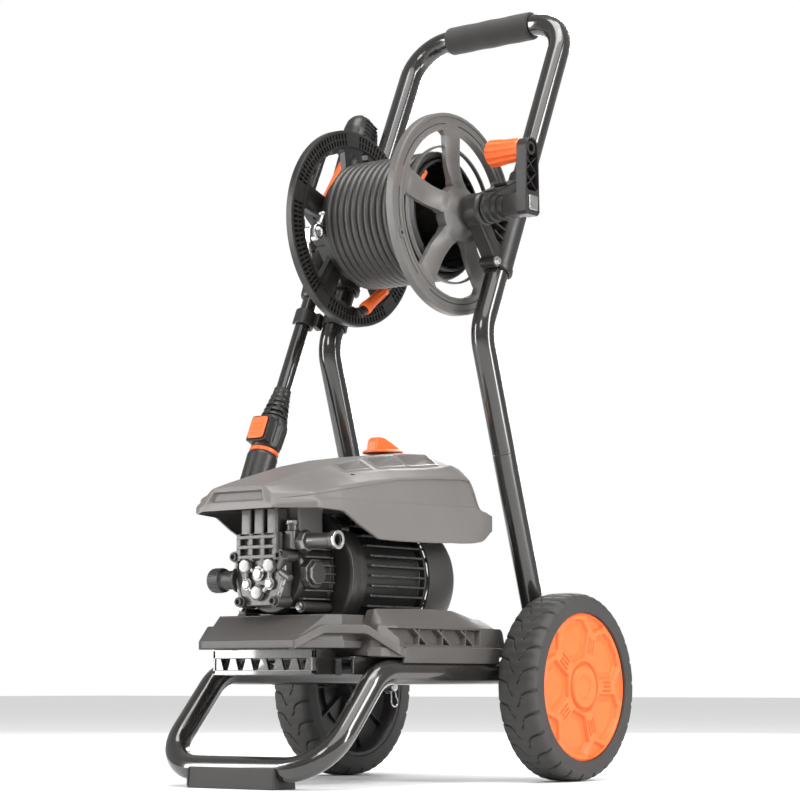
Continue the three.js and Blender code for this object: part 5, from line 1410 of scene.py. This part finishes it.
# ---- crank --------------------------------------------------------------------------------------------
# Stepped drive collars, a square-hubbed channel arm with crossed ribs, and a fluted orange grip that turns
# on a
# pin. The arm is screwed to the shaft, so it can be turned round to put the grip outside.
CRANK_TOP = REEL_Z + 68.0
collar_profile = [(8.3, 133.6), (15, 133.6), (18.6, 135), (18.6, 137.6), (17, 138.4), (17, 143.4), (18, 144),
                  (18, 146.4), (15.4, 147.2),
                  (15.4, 152), (16.4, 152.6), (16.4, 155), (13.6, 155.8), (13.6, 160), (14.6, 160.6),
                      (14.6, 163.4), (12.6, 164.4),
                  (12.6, 186), (8.3, 186)]
crank = [turned(rounded(collar_profile, 0.45, 3), reel_at, "x", 72, True)]


def loop(half_top, half_low, radius, foot_z):
    """The arm's outline: an arc over the grip's pin, and straight sides that widen down to the hub."""
    a = np.linspace(0, np.pi, 25)
    arc = np.stack([REEL_Y + radius * np.cos(a), CRANK_TOP + radius * np.sin(a)], -1)
    low = [(REEL_Y - half_low, foot_z + 4), (REEL_Y - half_low + 4, foot_z), (REEL_Y + half_low - 4, foot_z),
           (REEL_Y + half_low, foot_z + 4)]
    return np.concatenate([arc, low])


outer_loop, inner_loop = loop(13, 15, 13, REEL_Z - 15), loop(10.4, 12.4, 10.4, REEL_Z + 15)
middle_of_arm = np.array([REEL_Y, CRANK_TOP - 20])
walls_x = np.array([188.4, 185.6, 186.2, 199.4, 200.0, 200.0, 199.4, 188.6])
walls = [inner_loop, outer_loop + (middle_of_arm - outer_loop) * 0.012, outer_loop, outer_loop,
         outer_loop + (middle_of_arm - outer_loop) * 0.012,
         inner_loop + (inner_loop - middle_of_arm) * 0.012, inner_loop, inner_loop]
channel = np.stack([np.concatenate([np.full((len(w), 1), h), w], 1) for w, h in zip(walls, walls_x)])
crank.append(skin(channel, True))
crank.append(slab(inner_loop + (inner_loop - middle_of_arm) * 0.02, 185.8, 188.6, 0.2, turn=turn_x))
for z0, z1 in ((REEL_Z + 17, REEL_Z + 38), (REEL_Z + 38, REEL_Z + 58)):
    for lean in (-1, 1):
        rib = np.array([(REEL_Y - 11.4 * lean, z0), (REEL_Y - 11.4 * lean, z0 + 1.6), (REEL_Y + 11 * lean,
                z1), (REEL_Y + 11 * lean, z1 - 1.6)])
        crank.append(slab(rib, 187, 197.5, 0.3, turn=turn_x))
crank += [slab(outline_box((REEL_Y - 13.6, REEL_Z - 13.6), (REEL_Y + 13.6, REEL_Z + 13.6), 3), 164.6, 187,
               1.2, turn=turn_x),
          bar((142, REEL_Y, CRANK_TOP), (187, REEL_Y, CRANK_TOP), 4, edge=0.4),
          turned(rounded([(5, 187), (8.6, 187), (8.6, 198.6), (5, 198.6)], 0.5, 3), (0, REEL_Y, CRANK_TOP),
                 "x", 40, True)]
piece("crank_moulding", crank, black, "reel", "crank_arm", slot="black_plastic")
piece("crank_bolt", [slab(outline_box((REEL_Y - 9, REEL_Z - 9), (REEL_Y + 9, REEL_Z + 9), 2.5), 199.4, 202.0,
                          0.7, turn=turn_x),
                     *hex_bolt((195.0, REEL_Y, REEL_Z), "x", 9, 5)], steel, "reel", "crank_screw",
                         slot="bright_steel")

grip_x = np.concatenate([[138.7, 138.9, 139.6], np.linspace(141, 183, 30), [184.6, 185.1, 185.2]])
grip_r = np.interp(grip_x, [138.7, 138.9, 139.6, 142, 150, 160, 184, 185.1, 185.2], [4.5, 13.6, 15.8, 16.8,
        16.4, 15, 14, 13.0, 4.5])
grip_a = np.arange(144) * 2 * np.pi / 144
flute = np.clip(np.cos(12 * grip_a), -0.2, 1) * 1.5 - 0.9
depth = (swell(grip_x, 139.5, 143) * (1 - swell(grip_x, 180, 184)))[:, None] * flute[None]
grip_ring = np.stack([np.broadcast_to(grip_x[:, None], depth.shape),
                      REEL_Y + (grip_r[:, None] + depth) * np.cos(grip_a),
                      CRANK_TOP + (grip_r[:, None] + depth) * np.sin(grip_a)], -1)
piece("fluted_grip", [skin(grip_ring)], orange, "grip", "crank_grip", slot="orange_plastic")


# ---- spray gun ----------------------------------------------------------------------------------------
# A moulded gun stands head down beside the left tube: its tube ends in a ribbed strain relief, a fluted quick
# coupling with an orange release, and a nozzle barrel that turns behind an orange ring.
def on_gun(surfaces):
    """Several shapes drawn round the lance, all put in its parked place."""
    return [on_lance(surface) for surface in surfaces]


def lance_turned(profile, radius=0.5, sides=64, joined=False):
    """A turned piece about the lance, with its profile's corners eased."""
    return turned(rounded(profile, radius, 4, joined), (0, 0, 0), "z", sides, joined)


barrel = [lance_turned([(5, 0), (16.6, 0), (18.6, 3), (19.2, 40), (19.8, 70), (19.0, 74), (14, 74.4),
                        (5, 74.4), (5, 12)], 0.8, 72, True)]
for k in range(12):
    a = k * math.pi / 6
    turn = np.array([(0, 0, 1), (math.cos(a), math.sin(a), 0), (-math.sin(a), math.cos(a), 0)])
    barrel.append(slab(outline_box((8, 18.4), (38, 19.7), 0.5), -1.4, 1.4, 0.4, turn=turn))
piece("barrel_moulding", on_gun(barrel), black, "nozzle", "nozzle_barrel", slot="black_plastic")
piece("barrel_ring", on_gun([lance_turned([(14, 74.8), (18.4, 74.8), (18.8, 76), (18.8, 79.4), (18.2, 80.4),
                                           (14, 80.4)], 0.5, 72, True)]),
      orange, "nozzle", slot="orange_plastic")

COLLAR_COLUMNS = 120
collar_a = np.arange(COLLAR_COLUMNS) * 2 * np.pi / COLLAR_COLUMNS
collar_z = np.concatenate([[80.8, 80.9, 81.6], np.linspace(83, 124, 28), [125.4, 126, 126.1]])
collar_r = np.interp(collar_z, [80.8, 80.9, 81.6, 84, 112, 124, 126, 126.1], [10.2, 16.6, 17.6, 18.6, 19.6,
        18.2, 16.4, 10.2])
facet = np.clip(np.cos(10 * collar_a), -0.35, 0.7) * 1.3
facet = (swell(collar_z, 84, 90) * (1 - swell(collar_z, 116, 121)))[:, None] * facet[None]
collar = [skin(np.stack([(collar_r[:, None] + facet) * np.cos(collar_a),
                         (collar_r[:, None] + facet) * np.sin(collar_a),
                         np.broadcast_to(collar_z[:, None], facet.shape)], -1))]
# the raised square frame round the release button, with a well that the button sinks into
frame_turn = np.array([(1, 0, 0), (0, 0, 1), (0, -1, 0)])
frame_edge, well_edge = outline_box((-15.6, 84.0), (15.6, 120.0), 4), outline_box((-13.0, 86.5),
        (13.0, 117.5), 4)
frame_wall = [(well_edge, 16.0), (frame_edge, 16.0), (frame_edge, 21.8), (frame_edge * 0.99 + (0, 1.02),
        22.4), (well_edge, 22.4)]
frame_rings = np.stack([np.concatenate([edge, np.full((len(edge), 1), at)], 1) for edge, at in frame_wall])
collar.append(skin(frame_rings @ frame_turn, True))
collar.append(slab(frame_edge, 8, 16.6, 1.0, turn=frame_turn))
rib_profile = [(9.9, 125)]
for k in range(6):
    z, r = 126.2 + k * 7.0, 17.4 - k * 1.15
    rib_profile += [(12.2 - k * 0.15, z), (r, z + 0.6), (r - 0.5, z + 3.4), (12.0 - k * 0.15, z + 4.0)]
rib_profile += [(11.2, 168), (9.9, 168.6)]
collar.append(turned(rounded(rib_profile, 0.35, 3), (0, 0, 0), "z", 64, True))
for k in range(6):
    z, r = 126.2 + k * 7.0, 15.6 - k * 1.1
    for quarter in range(4):
        a = (quarter + 0.5 * (k % 2)) * math.pi / 2
        turn = np.array([(0, 0, 1), (math.cos(a), math.sin(a), 0), (-math.sin(a), math.cos(a), 0)])
        collar.append(slab(outline_box((z + 3, 10.5), (z + 7.6, r), 0.4), -2.6, 2.6, 0.3, turn=turn))
piece("coupling_moulding", on_gun(collar), black, "gun", "coupling_collar", slot="black_plastic")

button = [slab(outline_box((-12.6, 86.9), (12.6, 117.1), 4), 23.1, 25.4, 1.0, turn=frame_turn)]
button += [slab(outline_box((-8.6, z), (8.6, z + 2.4), 1), 24.6, 26.4, 0.8, turn=frame_turn) for z in (94,
        100.8, 107.6)]
piece("release_moulding", on_gun(button), orange, "coupling_button", "release_button", slot="orange_plastic")

lance = [lance_turned([(6, 126.8), (9.5, 126.8), (9.5, 300), (9.5, 317.6), (6, 317.6)], 0.4, 48, True)]
piece("lance_pipe", on_gun(lance), paint, "gun", "lance_tube", slot="black_plastic")


def gun_ring(z, half, front, back, power=2.4):
    """A section of the gun: x = half c(a), y = front or back s(a), where c and s are a superellipse's."""
    a = np.arange(64) * 2 * np.pi / 64
    c, s = (np.sign(t) * abs(t) ** (2 / power) for t in (np.cos(a), np.sin(a)))
    return np.stack([half * c, np.where(s > 0, back, front) * s, np.full(64, float(z))], -1)


gun_table = np.array([(303, 11.4, 11.4, 11.4), (306, 13, 13, 13), (330, 14, 15, 15), (360, 14.6, 16, 16.6),
                      (400, 16, 18, 20),
                      (440, 17, 18.6, 27), (480, 17, 19, 28.6), (520, 17, 21, 29), (545, 17.8, 24.6, 30),
                          (560, 18, 26, 30),
                      (572, 16.6, 24, 26.5), (580, 13.6, 19.6, 20), (586, 9, 12.4, 11), (588.4, 3.0, 4, 3)])
gun_z = np.unique(np.concatenate([np.linspace(303, 308, 6), np.arange(310, 560, 4.0), np.linspace(560, 588.4,
        16)]))
gun_size = np.stack([np.interp(gun_z, gun_table[:, 0], gun_table[:, c]) for c in (1, 2, 3)], -1)
gun_size[1:-1] = (gun_size[:-2] + 2 * gun_size[1:-1] + gun_size[2:]) / 4
seam = 0.5 * np.exp(-((gun_z - 366) / 1.6) ** 2) + 0.5 * np.exp(-((gun_z - 534) / 1.6) ** 2)
gun = [skin(np.stack([gun_ring(z, a - s, b - s, c - s) for z, (a, b, c), s in zip(gun_z, gun_size, seam)]))]
guard = rounded([(-12, 392), (-56, 402), (-63, 424), (-62, 500), (-52, 522), (-12, 530), (-12, 517),
                 (-46, 510), (-54, 498), (-55.5, 426),
                 (-50, 412), (-12, 404)], [4, 12, 12, 12, 10, 4, 4, 8, 8, 8, 8, 4])
gun.append(slab(guard, -6.6, 6.6, 2.4, turn=turn_x))
for k in range(9):
    z = 470 + k * 9
    gun.append(slab(outline_box((24.5, z), (31.2 if z > 500 else 30, z + 4), 1.4), -13, 13, 1.2, turn=turn_x))
for k in range(6):
    z = 545 + k * 6
    half = np.interp(z, gun_table[:, 0], gun_table[:, 1])
    gun += [slab(outline_box((-12, z), (12, z + 2.2), 0.8), *sorted((s * (half - 2), s * (half + 0.7))), 0.5,
                 turn=turn_x) for s in (-1, 1)]
piece("gun_moulding", on_gun(gun), black, "gun", "gun_body", slot="black_plastic")
trigger = rounded([(-7, 508), (-12, 512), (-20, 508), (-24.5, 480), (-32, 440), (-28, 423), (-23, 440),
                   (-17.5, 478), (-9, 484)],
                  [2, 2, 4, 14, 5, 3, 5, 10, 2], 6)
piece("trigger_blade", on_gun([slab(trigger, -4, 4, 1.4, turn=turn_x)]), orange, "gun_trigger", "trigger",
      slot="orange_plastic")
slide = [slab(outline_box((13, 433.4), (33.6, 448.6), 2), -3.9, 3.9, 1.0, turn=turn_x)]
slide += [slab(outline_box((32.6, 435.4 + 3 * k), (34.6, 436.8 + 3 * k), 0.5), -3, 3, 0.4,
               turn=turn_x) for k in range(4)]
piece("trigger_slide", on_gun(slide), orange, "gun_lock", "trigger_lock", slot="orange_plastic")

# The clip: a sprung C that snaps round the lance, on a band clamped round the left tube.
opening = np.radians(np.linspace(-140, 140, 49))
inner_c, outer_c = ((r * np.cos(opening), r * np.sin(opening)) for r in (10.2, 13.8))
c_outline = np.concatenate([np.stack(outer_c, -1), np.stack(inner_c, -1)[::-1]])
band_low = np.array([-SIDE, handle_y(572), 572.0])
band_high = np.array([-SIDE, handle_y(598), 598.0])
band_length = np.linalg.norm(band_high - band_low)
clip = [on_lance(slab(c_outline, 262.4, 283.6, 1.0)), on_lance(slab(outline_box((12.4, 3), (21, 15), 1.5),
        263, 283, 1.0)),
        turned(rounded([(14.9, 0), (17.2, 0), (17.2, band_length), (14.9, band_length)], 0.6, 4), band_low,
               band_high - band_low, 56, True)]
piece("lance_clip_moulding", clip, black, "frame", "lance_clip", slot="black_plastic")


# ---- inside parts -------------------------------------------------------------------------------------
# The parts that show only through vents and gaps keep the shapes they were packed with: a varnished copper
# winding, a laminated steel rotor, a moulded fan, a ground swash plate and ground plungers.
def finish_node(material, *names):
    """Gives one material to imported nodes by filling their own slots."""
    for name in names:
        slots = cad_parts[name].material_slots
        for slot in slots:
            slot.material = material
        if not slots:
            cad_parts[name].data.materials.append(material)


def varnished_copper():
    """Wound enamelled wire: fine crossing strands under amber varnish that has pooled in places."""
    material, shader, place = finish("varnished_copper", Coat_Weight=0.6)
    strand = place.noise(700, 2.0, 0.5, 1.5)
    pool = place.noise(40, 3.0)
    colour = pool.mixed((0.30, 0.10, 0.035), (0.48, 0.19, 0.07))
    return settle(material, shader, colour, pool * 0.2 + 0.3, strand, 0.0002, pool * 0.3 + 0.5)


finish_node(varnished_copper(), "stator")
finish_node(steel, "rotor", "swash_plate", "plunger_1", "plunger_2", "plunger_3")
finish_node(cover_grey, "cooling_fan")
finish_node(black, "hose_fitting")
